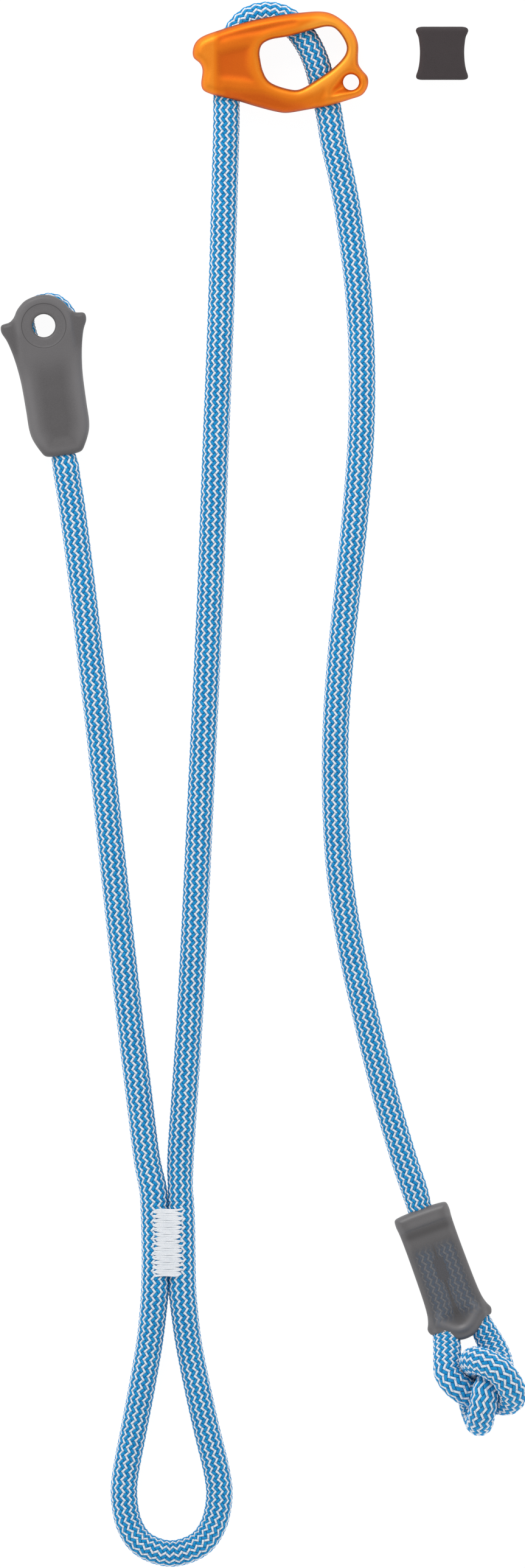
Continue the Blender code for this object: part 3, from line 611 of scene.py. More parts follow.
# %% [markdown]
# Several helpers serve all the pieces that follow. An outline is a few measured places in
# millimetres that a smooth closed line runs through. A plain spline bulges at a corner beside a
# long straight side. This one, called centripetal, takes its pace from the root of the distance
# between the places, and doesn't. A slab is one face made from the outline and extruded. Its
# modifiers are applied, because later steps move the finished points.

# %% Helpers for the solid pieces
def smooth_loop(places, steps=8):
    """A smooth closed outline, in metres, through places in millimetres."""
    around = np.array(places, float) * MM
    outline = []
    corners = [np.roll(around, shift, axis=0) for shift in (1, 0, -1, -2)]
    for before, start, end, after in zip(*corners):
        first = math.sqrt(np.linalg.norm(start - before))
        second = first + math.sqrt(np.linalg.norm(end - start))
        third = second + math.sqrt(np.linalg.norm(after - end))
        t = np.linspace(first, second, steps, endpoint=False)[:, None]
        a = before + (start - before) * t / first
        b = start + (end - start) * (t - first) / (second - first)
        c = end + (after - end) * (t - second) / (third - second)
        d = a + (b - a) * t / second
        e = b + (c - b) * (t - first) / (third - first)
        outline.append(d + (e - d) * (t - first) / (second - first))
    return np.vstack(outline)


def mirrored(right):
    """A symmetric outline from the places of its right side, from the top down."""
    return right + [(-x, y) for x, y in reversed(right) if x > 0]


def made(name, bm):
    mesh = bpy.data.meshes.new(name)
    bm.to_mesh(mesh)
    bm.free()
    return placed(name, mesh)


def slab(name, outline, low, high):
    """A flat plate with this outline, from one height to the other."""
    bm = bmesh.new()
    face = bm.faces.new([bm.verts.new((x, y, low)) for x, y in outline])
    raised = bmesh.ops.extrude_face_region(bm, geom=[face])
    moved = [item for item in raised["geom"] if isinstance(item, bmesh.types.BMVert)]
    bmesh.ops.translate(bm, verts=moved, vec=(0, 0, high - low))
    bmesh.ops.recalc_face_normals(bm, faces=bm.faces)
    return made(name, bm)


def finished(item):
    """Apply the item's modifiers to its mesh."""
    settled = item.evaluated_get(bpy.context.evaluated_depsgraph_get())
    mesh = bpy.data.meshes.new_from_object(settled)
    item.modifiers.clear()
    item.data = mesh


def carved(item, cutters):
    for cutter in cutters:
        cut = item.modifiers.new(cutter.name, "BOOLEAN")
        cut.operation = "DIFFERENCE"
        cut.solver = "EXACT"
        cut.object = cutter
    finished(item)
    for cutter in cutters:
        bpy.data.objects.remove(cutter)


def even_mesh(item, size):
    """Replace the mesh by small even faces, so that its points can be moved to any relief."""
    remesh = item.modifiers.new("even", "REMESH")
    remesh.mode = "VOXEL"
    remesh.voxel_size = size
    finished(item)


def softened(item, times):
    smooth = item.modifiers.new("soft", "SMOOTH")
    smooth.factor = 0.5
    smooth.iterations = times
    finished(item)
    item.data.shade_smooth()

# %% [markdown]
# A forging and a moulding have no sharp edges, and their faces are not flat. Bevels of several
# millimetres collide on outlines as bent as these. So the height is worked out instead: each
# point of the even mesh knows how far it is from the outline, and moves down by a quarter
# circle over that distance. The same trick presses troughs and ridges into the faces. It also
# gives a piece its painted light and shade: a number per point that is high for a painted
# highlight, on ridges and rims, and low for painted shade, in hollows. The material turns it into
# colour.

# %% Helpers for relief
ROPE_LOOK_STEP = 0.0005


def inward(x, y, loop):
    """The distance from a closed line: above 0 inside it, below 0 outside."""
    nearest = np.full(x.shape, np.inf)
    inside = np.zeros(x.shape, bool)
    for (ax, ay), (bx, by) in zip(loop, np.roll(loop, -1, axis=0)):
        dx, dy = bx - ax, by - ay
        share = np.clip(((x - ax) * dx + (y - ay) * dy) / (dx * dx + dy * dy), 0, 1)
        nearest = np.minimum(nearest, np.hypot(x - ax - share * dx, y - ay - share * dy))
        if ay != by:
            inside ^= ((ay > y) != (by > y)) & (x < ax + dx * (y - ay) / dy)
    return np.where(inside, nearest, -nearest)


def edge_drop(distance, radius):
    """How far a rounded edge has dropped at this distance inside it."""
    away = np.clip(1 - distance / radius, 0, 1)
    return radius * (1 - np.sqrt(1 - away**2))


def soft_step(share):
    share = np.clip(share, 0, 1)
    return share * share * (3 - 2 * share)


def ramp(value, start, length):
    """0 up to the start, 1 from this length past it, and smooth in between."""
    return soft_step((value - start) / length)


def rope_height(x, y, start, end, radius):
    """Half the height of a tube round this stretch of the rope, above these places."""
    nearest = np.full(x.shape, np.inf)
    for at in np.arange(start, end, ROPE_LOOK_STEP):
        place = on_line(line, at)
        nearest = np.minimum(nearest, np.hypot(x - place[0], y - place[1]))
    return np.sqrt(np.maximum(radius**2 - nearest**2, 0))


def points_of(item):
    flat = np.empty(len(item.data.vertices) * 3)
    item.data.vertices.foreach_get("co", flat)
    return flat.reshape(-1, 3)


def near(distance, middle, width):
    """1 at this distance from an edge, and fading out on both sides of it."""
    return np.exp(-(((distance - middle) / width) ** 2))


def pressed(item, half, height, spared=0.0):
    """Move both faces of a slab to this height from its middle, but not what is spared."""
    places = points_of(item)
    above = places[:, 2] - half
    share = np.clip((np.abs(above) - spared) / (half - spared), 0, 1)
    places[:, 2] = half + np.sign(above) * (np.abs(above) - share * (half - height))
    item.data.vertices.foreach_set("co", places.ravel())


def toned(item, values, name="painted_light_and_tone"):
    """Give each point a number from 0 to 1 for the material to read."""
    numbers = item.data.attributes.new(name, "FLOAT", "POINT")
    numbers.data.foreach_set("value", np.clip(values, 0, 1))


def formed(item, half, height, passes, painted_light_and_tone, spared=0.0):
    """Move both faces to their height, soften them and give them their painted light and shade."""
    pressed(item, half, height, spared)
    softened(item, passes)
    toned(item, painted_light_and_tone)

# %% [markdown]
# The adjuster is one forging of anodised aluminium. The rope runs up a channel inside its thick
# left end, over the top, and down across the large hole through the beam below. A connector
# goes through the large hole, and a thin cord through the small one keeps it there. The channel
# can't be a trough between two halves, because the real piece is closed, so a tube that follows
# the rope's own line is cut out of it. First come the outlines, from the nose round to it again.

# %% Adjuster outlines
ADJUSTER_OUTLINE = [
    (-12.6, 5.5), (-11.7, 8.8), (-9.4, 11.1), (-1.5, 14.1), (6.8, 16.6), (16.2, 18.7),
    (27.8, 20.3), (35.6, 20.7), (39.3, 19.9), (43.5, 17.3), (47.3, 13.4), (49.2, 8.8),
    (49.2, 3.2), (49.4, 0.9), (50.9, -1.4), (52.8, -3.7), (52.9, -7.0), (50.9, -10.3),
    (46.3, -12.1), (39.3, -14.2), (30.1, -16.0), (22.2, -17.2), (18.5, -16.7), (11.5, -14.9),
    (2.2, -12.1), (-6.1, -10.0), (-8.7, -8.6), (-9.4, -6.6), (-8.9, -1.0), (-9.8, 1.3),
    (-12.2, 3.4),
]
CONNECTOR_HOLE = [
    (12.4, 5.5), (13.3, 8.3), (16.2, 10.1), (23.6, 11.5), (33.7, 14.3), (37.5, 15.1),
    (40.3, 14.6), (43.5, 11.1), (45.0, 7.4), (44.4, 4.6), (40.3, -0.1), (34.7, -4.2),
    (27.3, -8.4), (24.5, -8.5), (16.2, -5.6), (13.8, -1.9), (12.7, 2.7),
]
UPPER_TROUGH = [
    (-3.9, 12.4), (1.0, 14.0), (7.3, 15.5), (15.7, 17.0), (22.4, 18.2), (26.4, 18.3),
    (27.7, 16.8), (26.6, 15.4), (22.4, 14.3), (17.4, 13.0), (14.0, 11.9), (10.6, 11.2),
    (6.4, 10.5), (1.8, 9.5), (-2.4, 8.4), (-3.9, 9.6),
]
MIDDLE_PANEL = [
    (-4.1, 6.1), (-2.0, 6.8), (3.1, 8.0), (7.3, 8.8), (9.4, 8.2), (9.5, 5.2), (9.4, 1.5),
    (9.9, -1.9), (11.0, -4.6), (10.6, -6.3), (7.3, -6.2), (2.2, -5.7), (-2.0, -5.3),
    (-3.7, -4.0), (-4.3, -0.2), (-4.5, 4.0),
]
LOWER_SLOPE = [
    (-1.1, -7.6), (3.1, -7.8), (8.1, -8.2), (13.2, -8.6), (16.5, -9.6), (19.9, -10.7),
    (23.7, -12.1), (27.0, -12.2), (30.4, -11.2), (33.7, -9.4), (36.3, -7.6), (37.6, -8.4),
    (37.9, -12.0), (37.9, -20.0), (32.5, -22.0), (22.4, -24.0), (11.5, -22.0), (1.0, -18.0),
    (-2.0, -13.0),
]
CORD_POCKET = [
    (38.2, -10.7), (38.8, -8.2), (40.9, -5.3), (43.6, -2.3), (46.4, -1.0), (49.1, -1.7),
    (51.0, -4.0), (51.2, -6.9), (49.5, -9.3), (46.4, -10.3), (42.6, -10.7), (39.6, -11.2),
]

# %% Holes and channels
CHANNEL_RING = 0.001


def round_slab(name, place, radius, low, high):
    bm = bmesh.new()
    bmesh.ops.create_cone(
        bm, cap_ends=True, segments=64, radius1=radius, radius2=radius, depth=high - low
    )
    bmesh.ops.translate(bm, verts=bm.verts, vec=(*place, (high + low) / 2))
    return made(name, bm)


def channel(name, start, end, radius):
    """A closed tube round a stretch of the rope's line, to cut its channel with."""
    bm = bmesh.new()
    rings = int((end - start) / CHANNEL_RING)
    bmesh.ops.create_grid(bm, x_segments=32, y_segments=rings, size=0.5)
    for vert in bm.verts:
        at = start + (vert.co.y + 0.5) * (end - start)
        turn = (vert.co.x + 0.5) * math.tau
        centre, side, up = (Vector(on_line(track, at)) for track in (line, sideways, upwards))
        vert.co = centre + (side * math.cos(turn) + up * math.sin(turn)) * radius
    closed(bm)
    return made(name, bm)


# %% Cut the adjuster
ADJUSTER_HALF = 0.009
CORD_HOLE = (0.0466, -0.0057)
CORD_HOLE_RADIUS = 0.0030
CHANNEL_RADIUS = 0.0055
CHANNEL_OVERRUN = 0.012
CUT_OVERRUN = 0.001
ADJUSTER_GRAIN = 0.00042

route_names = list(ROUTES)
channel_start = starts[route_names.index("adjuster_bend")] - CHANNEL_OVERRUN
channel_end = starts[route_names.index("right_arm_top")] + CHANNEL_OVERRUN
outline, hole = smooth_loop(ADJUSTER_OUTLINE), smooth_loop(CONNECTOR_HOLE)
low, high = -CUT_OVERRUN, 2 * ADJUSTER_HALF + CUT_OVERRUN
adjuster = slab("adjuster", outline, 0, 2 * ADJUSTER_HALF)
carved(adjuster, [
    slab("hole", hole, low, high),
    round_slab("cord", CORD_HOLE, CORD_HOLE_RADIUS, low, high),
    channel("rope", channel_start, channel_end, CHANNEL_RADIUS),
])
even_mesh(adjuster, ADJUSTER_GRAIN)
print("the cut adjuster has", len(adjuster.data.polygons), "faces")

# %% [markdown]
# The forging's face has four shallow hollows with soft walls. Dies leave such walls, so that the
# hot metal lets go. The panel on the left is plain. A wall of metal always stays round the
# rope's channel, so the hollows stop above it. The painted light and shade go with the form: a
# painted highlight on the nose, on the rim of the large hole and on the right beam, painted shade
# in the hollows, and the darkest painted shade in a thin line at the edges, where the anodised
# face turns away from the light.

# %% Form the adjuster's faces
OUTER_ROUNDING = 0.0032
HOLE_ROUNDING = 0.0016
SLOPE_WIDTH = 0.0030
CHANNEL_WALL = 0.0012
# each hollow: its outline, its depth, and the painted shade it gets
HOLLOWS = {
    "upper trough": (UPPER_TROUGH, 0.0004, 0.15),
    "middle panel": (MIDDLE_PANEL, 0.0004, 0.12),
    "lower slope": (LOWER_SLOPE, 0.0009, 0.13),
    "cord pocket": (CORD_POCKET, 0.0026, 0.10),
}
# ramps, bands and amounts for the painted highlights and the painted shade
NOSE_RAMP = (-0.0052, 0.0022)
BEAM_RAMP = (0.024, 0.012)
RIM_MIDDLE = 0.0017
RIM_WIDTH = 0.0015
EDGE_WIDTH = 0.0004
PLAIN_TONE = 0.54
NOSE_HIGHLIGHT = 0.26
BEAM_HIGHLIGHT = 0.24
HOLE_RIM_HIGHLIGHT = 0.24
EDGE_SHADE = -0.45

x, y, _ = points_of(adjuster).T
from_outline, from_hole = inward(x, y, outline), -inward(x, y, hole)
spared = rope_height(x, y, channel_start, channel_end, CHANNEL_RADIUS)
height = ADJUSTER_HALF - edge_drop(from_outline, OUTER_ROUNDING)
height -= edge_drop(from_hole, HOLE_ROUNDING)
# painted highlights on the nose, on the right beam and round the rim of the large hole
painted_light_and_tone = PLAIN_TONE + NOSE_HIGHLIGHT * (1 - ramp(x, *NOSE_RAMP))
painted_light_and_tone += BEAM_HIGHLIGHT * ramp(x, *BEAM_RAMP)
painted_light_and_tone += HOLE_RIM_HIGHLIGHT * near(from_hole, RIM_MIDDLE, RIM_WIDTH)
# each hollow is pressed in and gets painted shade
for places, depth, hollow_shade in HOLLOWS.values():
    reach = soft_step(inward(x, y, smooth_loop(places)) / SLOPE_WIDTH)
    height -= depth * reach
    painted_light_and_tone -= hollow_shade * reach
# painted shade in a thin line along the outer edge and the hole's edge
painted_light_and_tone += EDGE_SHADE * (near(from_outline, 0, EDGE_WIDTH) + near(from_hole, 0, EDGE_WIDTH))
height = np.maximum(height, spared + CHANNEL_WALL * (spared > 0))
formed(adjuster, ADJUSTER_HALF, height, 12, painted_light_and_tone, spared)
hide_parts("adjuster_body")
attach(adjuster, "adjuster")
print("the formed adjuster's tone runs from", painted_light_and_tone.min().round(2), "to", painted_light_and_tone.max().round(2))

# %% [markdown]
# The left sleeve is a soft moulding over the short arm's sewn eye. Its top is a dome with a
# round hole in a disc pressed in slightly, ears guide the connector, and it gets slimmer down to
# the rope. The outline is symmetric, so only its right side is measured, down from the dome, in
# the sleeve's own upright frame. The finished mesh is then turned by the angle it lies at.

# %% Left sleeve
LEFT_SIDE = [
    (0.0, 11.6), (2.6, 11.3), (5.2, 10.4), (7.4, 8.9), (9.2, 7.0), (10.6, 4.7), (12.4, 3.2),
    (15.7, 2.4), (16.1, 0.1), (14.6, -3.4), (13.6, -6.8), (12.6, -11.7), (11.7, -19.3),
    (11.4, -30.2), (11.3, -38.0), (10.6, -41.5), (8.4, -46.2), (7.0, -48.2), (5.2, -48.8),
]
SLEEVE_HALF = 0.0062
SLEEVE_GRAIN = 0.00038
EYE_PLACE = (-0.0682, -0.0966, 0.0)
LEFT_PLACE = Matrix.Translation(EYE_PLACE) @ Matrix.Rotation(math.radians(8.8), 4, "Z")
EYE_HOLE_RADIUS = 0.0043
EYE_ROUNDING = 0.0008
RING_RADIUS = 0.0083
RING_DEPTH = 0.00022
RING_RAMP = 0.0003
BODY_RAMP = (0.010, 0.012)
MOUTH_RAMP = (0.040, 0.008)
EAR_RAMP = (0.0092, 0.0024)
EAR_FOOT_RAMP = (-0.015, 0.007)
HOLLOW_RAMP = (0.0030, 0.005)
DOME_ROUNDING = 0.0017
BODY_ROUNDING = 0.0023
MOUTH_SHARPER = 0.0018
HOLLOW_DEPTH = 0.0006
EAR_DROP = 0.0018
# bands and ramps for the painted highlights and the painted shade
SHOULDER_HIGHLIGHT_BAND = (0.0024, 0.0014)
HOLLOW_SHADE_RAMP = (0.0036, 0.005)
RING_HIGHLIGHT_BAND = (RING_RADIUS + 0.0014, 0.0012)
ABOVE_THE_EYE = (-0.004, 0.004)

left_outline = smooth_loop(mirrored(LEFT_SIDE)[:-1])
left_sleeve = slab("left_sleeve_moulding", left_outline, 0, 2 * SLEEVE_HALF)
low, high = -CUT_OVERRUN, 2 * SLEEVE_HALF + CUT_OVERRUN
carved(left_sleeve, [round_slab("eye", (0, 0), EYE_HOLE_RADIUS, low, high)])
even_mesh(left_sleeve, SLEEVE_GRAIN)
x, y, _ = points_of(left_sleeve).T
from_edge, from_eye = inward(x, y, left_outline), np.hypot(x, y)
low_down, mouth = ramp(-y, *BODY_RAMP), ramp(-y, *MOUTH_RAMP)
ears = ramp(np.abs(x), *EAR_RAMP) * ramp(y, *EAR_FOOT_RAMP)
rounding = DOME_ROUNDING + BODY_ROUNDING * low_down - MOUTH_SHARPER * mouth
height = SLEEVE_HALF - edge_drop(from_edge, rounding)
height -= HOLLOW_DEPTH * ramp(from_edge, *HOLLOW_RAMP) * low_down
height -= EAR_DROP * ears
height -= RING_DEPTH * soft_step((RING_RADIUS - from_eye) / RING_RAMP)
height -= edge_drop(from_eye - EYE_HOLE_RADIUS, EYE_ROUNDING)
# painted light and shade: a painted highlight along the rounded flanks, painted shade on the thinner
# ears and in the middle hollow, darker towards the mouth, and a painted highlight round the ring above
# the eye
painted_light_and_tone = 0.58 + 0.28 * near(from_edge, *SHOULDER_HIGHLIGHT_BAND) * low_down - 0.18 * ears - 0.30 * mouth
painted_light_and_tone -= 0.28 * ramp(from_edge, *HOLLOW_SHADE_RAMP) * low_down
painted_light_and_tone += 0.16 * near(from_eye, *RING_HIGHLIGHT_BAND) * ramp(y, *ABOVE_THE_EYE)
formed(left_sleeve, SLEEVE_HALF, height, 4, painted_light_and_tone)
left_sleeve.data.transform(LEFT_PLACE)
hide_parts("left_sleeve")
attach(left_sleeve, "left_end")
print("the left sleeve has", len(left_sleeve.data.polygons), "faces")

# %% [markdown]
# The right sleeve is a smoky, see-through moulding over the long arm's sewn end. It has a
# thicker collar where the rope goes in, and a ridge shaped like a U above the two strands that
# come out of its foot. The strands inside show faintly through its front. So each point also
# gets a clearness, which is above zero only on the front face over the strands, and the material
# turns it into transparency.

# %% Right sleeve
RIGHT_SIDE = [
    (8.6, 23.3), (10.2, 22.7), (10.6, 20.4), (10.3, 16.8), (10.2, 3.1), (10.8, -14.3),
    (11.7, -17.8), (12.6, -19.9), (11.8, -22.1), (9.8, -22.4), (8.1, -23.7), (5.1, -26.2),
    (1.9, -27.6),
]
RIGHT_PLACE = Matrix.Translation((0.08025, -0.4487, 0)) @ Matrix.Rotation(math.radians(20), 4, "Z")
COLLAR_FOOT = 0.0165
COLLAR_STEP = 0.0012
RIDGE_INSET = 0.0040
RIDGE_HEIGHT = 0.0008
CLEARNESS = 0.30
COLLAR_FADE = 0.0016
FOOT_RAMP = (0.0135, 0.004)
RIDGE_WIDTH = 0.0011
SIDE_ROUNDING = 0.0012
COLLAR_ROUNDING = 0.0020
EAR_SIDE_RAMP = (0.0092, 0.0022)
EAR_THINNING = 0.0016
WINDOW_TOP = 0.0125
WINDOW_FOOT = -0.0225
WINDOW_FADE = 0.006
# bands and ramps for the painted highlights and the painted shade
RIM_HIGHLIGHT_BAND = (0.0014, 0.0010)
COLLAR_HIGHLIGHT_BAND = (0.0192, 0.0018)
COLLAR_SHADOW_BAND = (COLLAR_FOOT - 0.0015, 0.0014)
FOOT_SHADE_RAMP = (0.0055, 0.002)
CLEAR_INSIDE = 0.003

right_outline = smooth_loop(mirrored(RIGHT_SIDE))
right_sleeve = slab("right_sleeve_moulding", right_outline, 0, 2 * SLEEVE_HALF)
even_mesh(right_sleeve, SLEEVE_GRAIN)
x, y, z = points_of(right_sleeve).T
from_edge = inward(x, y, right_outline)
collar, foot = ramp(y, COLLAR_FOOT, COLLAR_FADE), ramp(-y, *FOOT_RAMP)
ridge = near(from_edge, RIDGE_INSET, RIDGE_WIDTH) * foot
rounding = SIDE_ROUNDING + COLLAR_ROUNDING * collar
height = SLEEVE_HALF - edge_drop(from_edge, rounding) - COLLAR_STEP * (1 - collar)
height += RIDGE_HEIGHT * ridge
height -= EAR_THINNING * ramp(np.abs(x), *EAR_SIDE_RAMP) * foot
front = ramp(z, 1.5 * SLEEVE_HALF, MM)
window = soft_step((WINDOW_TOP - y) / WINDOW_FADE) * ramp(y, WINDOW_FOOT, WINDOW_FADE)
inside = soft_step(from_edge / CLEAR_INSIDE)
# painted light and shade: a painted highlight on the U ridge, along the rim and across the collar, a
# painted shadow under the collar, and painted shade inside the U at the foot
painted_light_and_tone = 0.44 + 0.42 * ridge + 0.16 * near(from_edge, *RIM_HIGHLIGHT_BAND)
painted_light_and_tone += 0.16 * near(y, *COLLAR_HIGHLIGHT_BAND) * soft_step((0.0085 - np.abs(x)) / 0.004)
painted_light_and_tone -= 0.34 * near(y, *COLLAR_SHADOW_BAND) * inside
painted_light_and_tone -= 0.16 * ramp(from_edge, *FOOT_SHADE_RAMP) * foot
formed(right_sleeve, SLEEVE_HALF, height, 3, painted_light_and_tone)
toned(right_sleeve, CLEARNESS * front * window * inside, "clearness")
right_sleeve.data.transform(RIGHT_PLACE)
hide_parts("right_sleeve")
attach(right_sleeve, "right_end")
print("the right sleeve has", len(right_sleeve.data.polygons), "faces")

# %% [markdown]
# The keeper is a short band of rubber that is pushed over webbing or a folded rope, to keep it
# in place. It lies loose beside the lanyard. Its sides are drawn in, because such a band is
# moulded with a waist, and its bore runs from top to bottom, so the cutter is laid on its back.

# %% Keeper
KEEPER_SIDE = [
    (0.0, 9.95), (5.0, 9.95), (8.3, 9.85), (9.4, 9.4), (9.85, 8.5), (9.5, 7.5), (8.9, 6.2),
    (8.5, 3.8), (8.3, 1.0), (8.35, -1.5), (8.6, -4.2), (9.1, -6.5), (9.6, -7.9), (9.75, -8.9),
    (9.3, -9.6), (8.2, -9.9), (5.0, -9.95), (0.0, -9.95),
]
BORE = mirrored([(5.0, 2.5), (6.2, 2.1), (6.5, 1.2), (6.5, -1.2), (6.2, -2.1), (5.0, -2.5)])
BORE_HALF_WIDTH = 0.0065
BORE_HALF_HEIGHT = 0.0026
BORE_WALL = 0.0003
KEEPER_HALF = 0.0045
KEEPER_ROUNDING = 0.0016
KEEPER_RIM_HIGHLIGHT_BAND = (0.0006, 0.0010)
BORE_REACH = 0.02
KEEPER_PLACE = Matrix.Translation((0.0806, 0.0051, 0))
KEEPER_GRAIN = 0.0003

keeper_outline = smooth_loop(mirrored(KEEPER_SIDE))
keeper = slab("keeper_band", keeper_outline, 0, 2 * KEEPER_HALF)
bore = slab("bore", smooth_loop(BORE), -BORE_REACH, BORE_REACH)
bore.data.transform(Matrix.Translation((0, 0, KEEPER_HALF)) @ Matrix.Rotation(math.pi / 2, 4, "X"))
carved(keeper, [bore])
even_mesh(keeper, KEEPER_GRAIN)
x, y, _ = points_of(keeper).T
from_edge = inward(x, y, keeper_outline)
spared = np.where(np.abs(x) < BORE_HALF_WIDTH, BORE_HALF_HEIGHT, 0)
height = np.maximum(KEEPER_HALF - edge_drop(from_edge, KEEPER_ROUNDING), spared + BORE_WALL)
# a painted highlight along the keeper's rounded rim
formed(keeper, KEEPER_HALF, height, 4, 0.42 + 0.14 * near(from_edge, *KEEPER_RIM_HIGHLIGHT_BAND), spared)
keeper.data.transform(KEEPER_PLACE)
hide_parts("keeper")
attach(keeper, "tie_in")
print("the keeper has", len(keeper.data.polygons), "faces")

# %% [markdown]
# A bar tack is a dense block of stitches that a machine sews to and fro across both strands.
# Each stitch is two threads between two lines of needle holes. In the middle the threads press
# together, and at the ends they dive between the yarns. The sewn ends inside the sleeves have
# shorter ones of dark thread. All are curves with a round bevel, turned into a mesh.

# %% Sew a bar tack
THREAD_RADIUS = 0.00030
PASSES = 2
UNEVEN = 0.0007
DIVE_START = 0.88
DIVE_DEPTH = 0.0009
PASS_SPREAD = 0.82
THREAD_POINTS = 17
WAVER = 0.14


def bar_tack(name, place, width, length, stitches, crown, valley):
    """Stitches to and fro between two lines of needle holes, each sewn twice."""
    curve = bpy.data.curves.new(name, "CURVE")
    curve.dimensions = "3D"
    curve.bevel_depth = THREAD_RADIUS
    curve.bevel_resolution = 2
    rise = length / stitches
    for number in range(stitches):
        side = 1 if number % 2 else -1
        for turn in range(PASSES):
            apart = (turn - (PASSES - 1) / 2) * rise * PASS_SPREAD / PASSES
            chance = math.sin(number * 12.9 + turn * 7.1), math.sin(number * 5.7 + turn * 3.3)
            spline = curve.splines.new("POLY")
            shares = np.linspace(-1, 1, THREAD_POINTS)
            spline.points.add(len(shares) - 1)
            for point, share in zip(spline.points, shares):
                middle = rise * (number + 0.5) + apart
                needle = rise * (number + (0 if share < 0 else 1))
                down = -middle - (needle - middle) * abs(share) ** 6
                lift = valley + (crown - valley) * abs(share) ** 1.5
                lift -= DIVE_DEPTH * max(0, abs(share) - DIVE_START) / (1 - DIVE_START)
                reach = width / 2 + UNEVEN * chance[0 if share < 0 else 1] * abs(share)
                down += UNEVEN * WAVER * math.sin(share * 3 + number * 2.1 + turn * 4.7)
                point.co = (side * share * reach, down, lift, 1)
    mesh = bpy.data.meshes.new_from_object(bpy.data.objects.new(name, curve))
    mesh.shade_smooth()
    mesh.transform(place)
    return placed(name, mesh)


# %% The three pairs of bar tacks
STITCHES = 29
TACK_WIDTH = 0.0102
TACK_HEIGHT = 0.0252
TACK_TOP = (-0.0219, -0.4264, 0.0063)
TACK_CROWN = 0.0054
TACK_VALLEY = 0.0050
HIDDEN_WIDTH = 0.0034
HIDDEN_HEIGHT = 0.008
HIDDEN_STITCHES = 10
HIDDEN_CROWN = 0.0034
HIDDEN_VALLEY = 0.0032
HIDDEN_STARTS = {"left": -0.018, "right": 0.004}
FACES = {"front": Matrix.Identity(4), "back": Matrix.Rotation(math.pi, 4, "Y")}

shown = (TACK_WIDTH, TACK_HEIGHT, STITCHES, TACK_CROWN, TACK_VALLEY)
hidden = (HIDDEN_WIDTH, HIDDEN_HEIGHT, HIDDEN_STITCHES, HIDDEN_CROWN, HIDDEN_VALLEY)
seen_tacks = []
hidden_tacks = []
for face, turn in FACES.items():
    item = bar_tack("tie_in_stitches_" + face, Matrix.Translation(TACK_TOP) @ turn, *shown)
    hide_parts("tie_in_tack_" + face)
    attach(item, "tie_in")
    seen_tacks.append(item)
    for end, placed_at in (("left", LEFT_PLACE), ("right", RIGHT_PLACE)):
        place = placed_at @ Matrix.Translation((0, HIDDEN_STARTS[end], SLEEVE_HALF)) @ turn
        item = bar_tack(f"{end}_stitches_{face}", place, *hidden)
        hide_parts(f"{end}_tack_{face}")
        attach(item, end + "_end")
        hidden_tacks.append(item)
print(len(seen_tacks + hidden_tacks), "faces of bar tacks")

# %% [markdown]
# Anodising is a dye in the metal's own skin, so the colour is deep and the gloss is metallic,
# but a blasted forging is never a mirror. Four colours sit along the painted light and shade,
# from the painted shade of the dark edge to the painted highlight of the light rim, and a fine
# grain swings them a little.

# %% Orange anodising
anodising = grained(
    "orange_anodising",
    [(0.35, 0.050, 0.006), (0.64, 0.106, 0.006), (0.83, 0.207, 0.009), (0.96, 0.365, 0.036)],
    0.28, 0.000010, 0.50, speckle=0.10, by_painted_light=True, Metallic=0.85,
)
adjuster.data.materials.append(anodising)

# %% [markdown]
# The left sleeve is a matt grey rubbery plastic. A fine dark line runs round the ring, at the edge
# of the pressed disc. It is thinner than the mesh's faces, so the material draws it, by the
# distance from the hole's centre.

# %% Grey moulding
RING_LINE_COLOUR = (0.060, 0.056, 0.058)
RING_LINE_WIDTH = 0.00024
moulding = grained(
    "grey_moulding", [(0.076, 0.071, 0.073), (0.160, 0.154, 0.158)],
    0.4, 0.00002, 0.46, speckle=0.14, by_painted_light=True, Specular_IOR_Level=0.35,
)
tree = moulding.node_tree
shader = tree.nodes["Principled BSDF"]
spot = put(tree, "ShaderNodeTexCoord").outputs["Object"]
flat = put(tree, "ShaderNodeMapping", Vector=spot, Scale=(1, 1, 0)).outputs["Vector"]
settings = {"operation": "DISTANCE"}
from_eye = put(tree, "ShaderNodeVectorMath", settings, i0=flat, i1=EYE_PLACE).outputs["Value"]
off_ring = sum_of(tree, "ABSOLUTE", sum_of(tree, "SUBTRACT", from_eye, RING_RADIUS))
plain = shader.inputs["Base Color"].links[0].from_socket
lined = blended(tree, faded(tree, off_ring, 0.0, RING_LINE_WIDTH), RING_LINE_COLOUR, plain)
tree.links.new(lined, shader.inputs["Base Color"])
left_sleeve.data.materials.append(moulding)

# %% [markdown]
# The right sleeve is the same kind of plastic, but smoky. Its alpha is one less the clearness
# that its points carry, so the woven strands inside show through the front as a faint pattern.

# %% Smoky moulding
smoky = grained(
    "smoky_moulding", [(0.072, 0.068, 0.070), (0.175, 0.170, 0.174)],
    0.4, 0.00002, 0.40, speckle=0.10, by_painted_light=True,
)
tree = smoky.node_tree
alpha = sum_of(tree, "SUBTRACT", 1.0, from_points(tree, "clearness"))
tree.links.new(alpha, tree.nodes["Principled BSDF"].inputs["Alpha"])
right_sleeve.data.materials.append(smoky)

# %% [markdown]
# Rubber is rough and nearly black, with light specks of dust, and it has a painted highlight along
# its rounded rim. Thread is white and a little fuzzy, which the sheen stands for. The hidden tacks
# are sewn with dark thread.

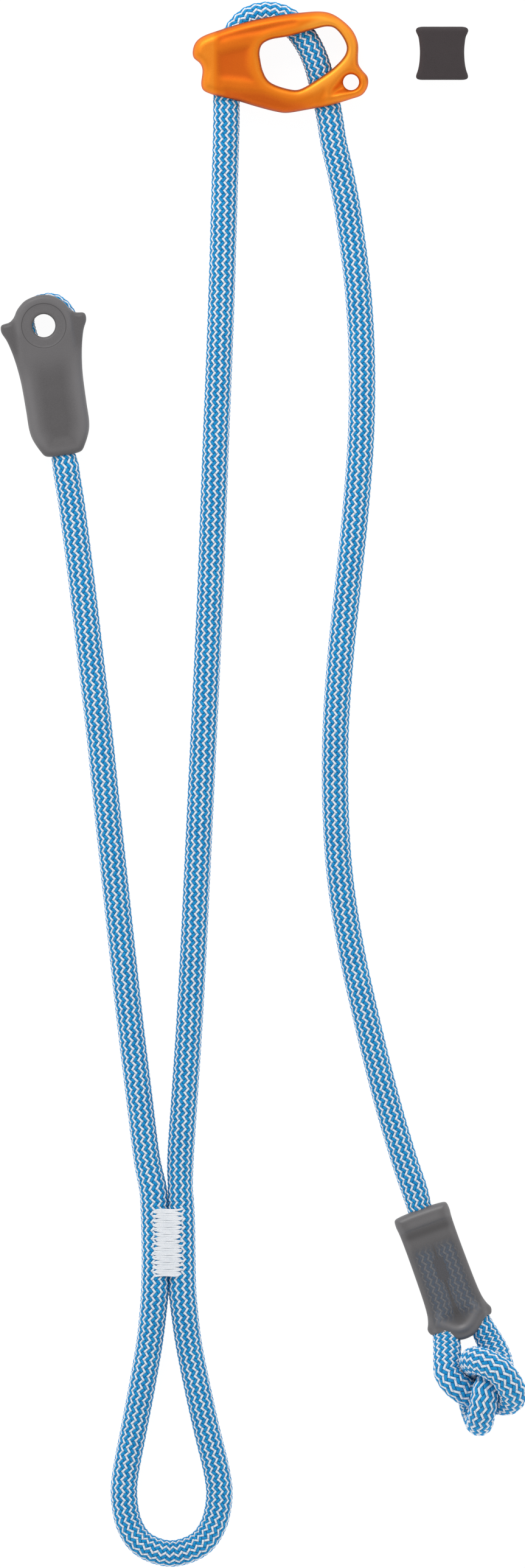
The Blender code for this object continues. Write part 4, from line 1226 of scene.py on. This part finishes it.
# %% Rubber and thread
rubber = grained(
    "black_rubber", [(0.016, 0.012, 0.013), (0.046, 0.037, 0.039), (0.130, 0.116, 0.118)],
    0.24, 0.00005, 0.72, speckle=0.20, by_painted_light=True, Specular_IOR_Level=0.3,
)
keeper.data.materials.append(rubber)
thread = grained(
    "sewing_thread", [(0.72, 0.76, 0.81), (0.90, 0.92, 0.95)],
    0.25, 0.00005, 0.65, Sheen_Weight=0.1,
)
dark_thread = grained(
    "dark_thread", [(0.02, 0.05, 0.12), (0.04, 0.08, 0.18)], 0.25, 0.00005, 0.65,
)
for item in seen_tacks:
    item.data.materials.append(thread)
for item in hidden_tacks:
    item.data.materials.append(dark_thread)
print(len(bpy.data.materials), "materials")

# %% [markdown]
# The photograph stands on pure white, with no shadow to speak of. The floor gives off most of
# its own brightness, like a light table, so it stays white under the object, and the rest of it
# takes the faint shade that tells where the object lies.

# %% Floor
FLOOR_SIZE = 4.0
FLOOR_HEIGHT = -0.0002
FLOOR_GREY = 0.08
FLOOR_GLOW = 0.95

bm = bmesh.new()
bmesh.ops.create_grid(bm, x_segments=1, y_segments=1, size=FLOOR_SIZE / 2)
floor = made("floor", bm)
floor.location = (*PICTURE_MIDDLE, FLOOR_HEIGHT)
floor_paper, _, shader = principled("floor_paper", 0.9, Emission_Color=(1, 1, 1, 1))
shader.inputs["Base Color"].default_value = (FLOOR_GREY, FLOOR_GREY, FLOOR_GREY, 1)
shader.inputs["Emission Strength"].default_value = FLOOR_GLOW
floor.data.materials.append(floor_paper)

# %% [markdown]
# The light is a white tent: a sky that is brighter towards its sides than straight above, which
# lets the round rope and the rims keep their form. One large lamp, up and to the left, adds a
# soft key. The standard view transform keeps white paper white.

# %% Light
SKY_ABOVE = 0.62
SKY_SIDES_MORE = 0.50
KEY_PLACE = (-0.35, 0.75, 1.0)
KEY_AIM = (0.0, -0.2, 0.0)
KEY_SIZE = 0.6
KEY_POWER = 7.0

bpy.context.scene.view_settings.view_transform = "Standard"
world = bpy.data.worlds.new("studio")
world.use_nodes = True
sky = world.node_tree
sky.nodes["Background"].inputs["Color"].default_value = (1, 1, 1, 1)
direction = put(sky, "ShaderNodeTexCoord").outputs["Generated"]
upward = put(sky, "ShaderNodeSeparateXYZ", Vector=direction).outputs["Z"]
glow = faded(sky, upward, 1.0, 0.1)
strength = sum_of(sky, "MULTIPLY_ADD", glow, SKY_SIDES_MORE, SKY_ABOVE)
sky.links.new(strength, sky.nodes["Background"].inputs["Strength"])
bpy.context.scene.world = world
key = placed("key", bpy.data.lights.new("key", "AREA"))
key.data.size = KEY_SIZE
key.data.energy = KEY_POWER
key.location = KEY_PLACE
key.rotation_euler = (Vector(KEY_AIM) - Vector(KEY_PLACE)).to_track_quat("-Z", "Y").to_euler()
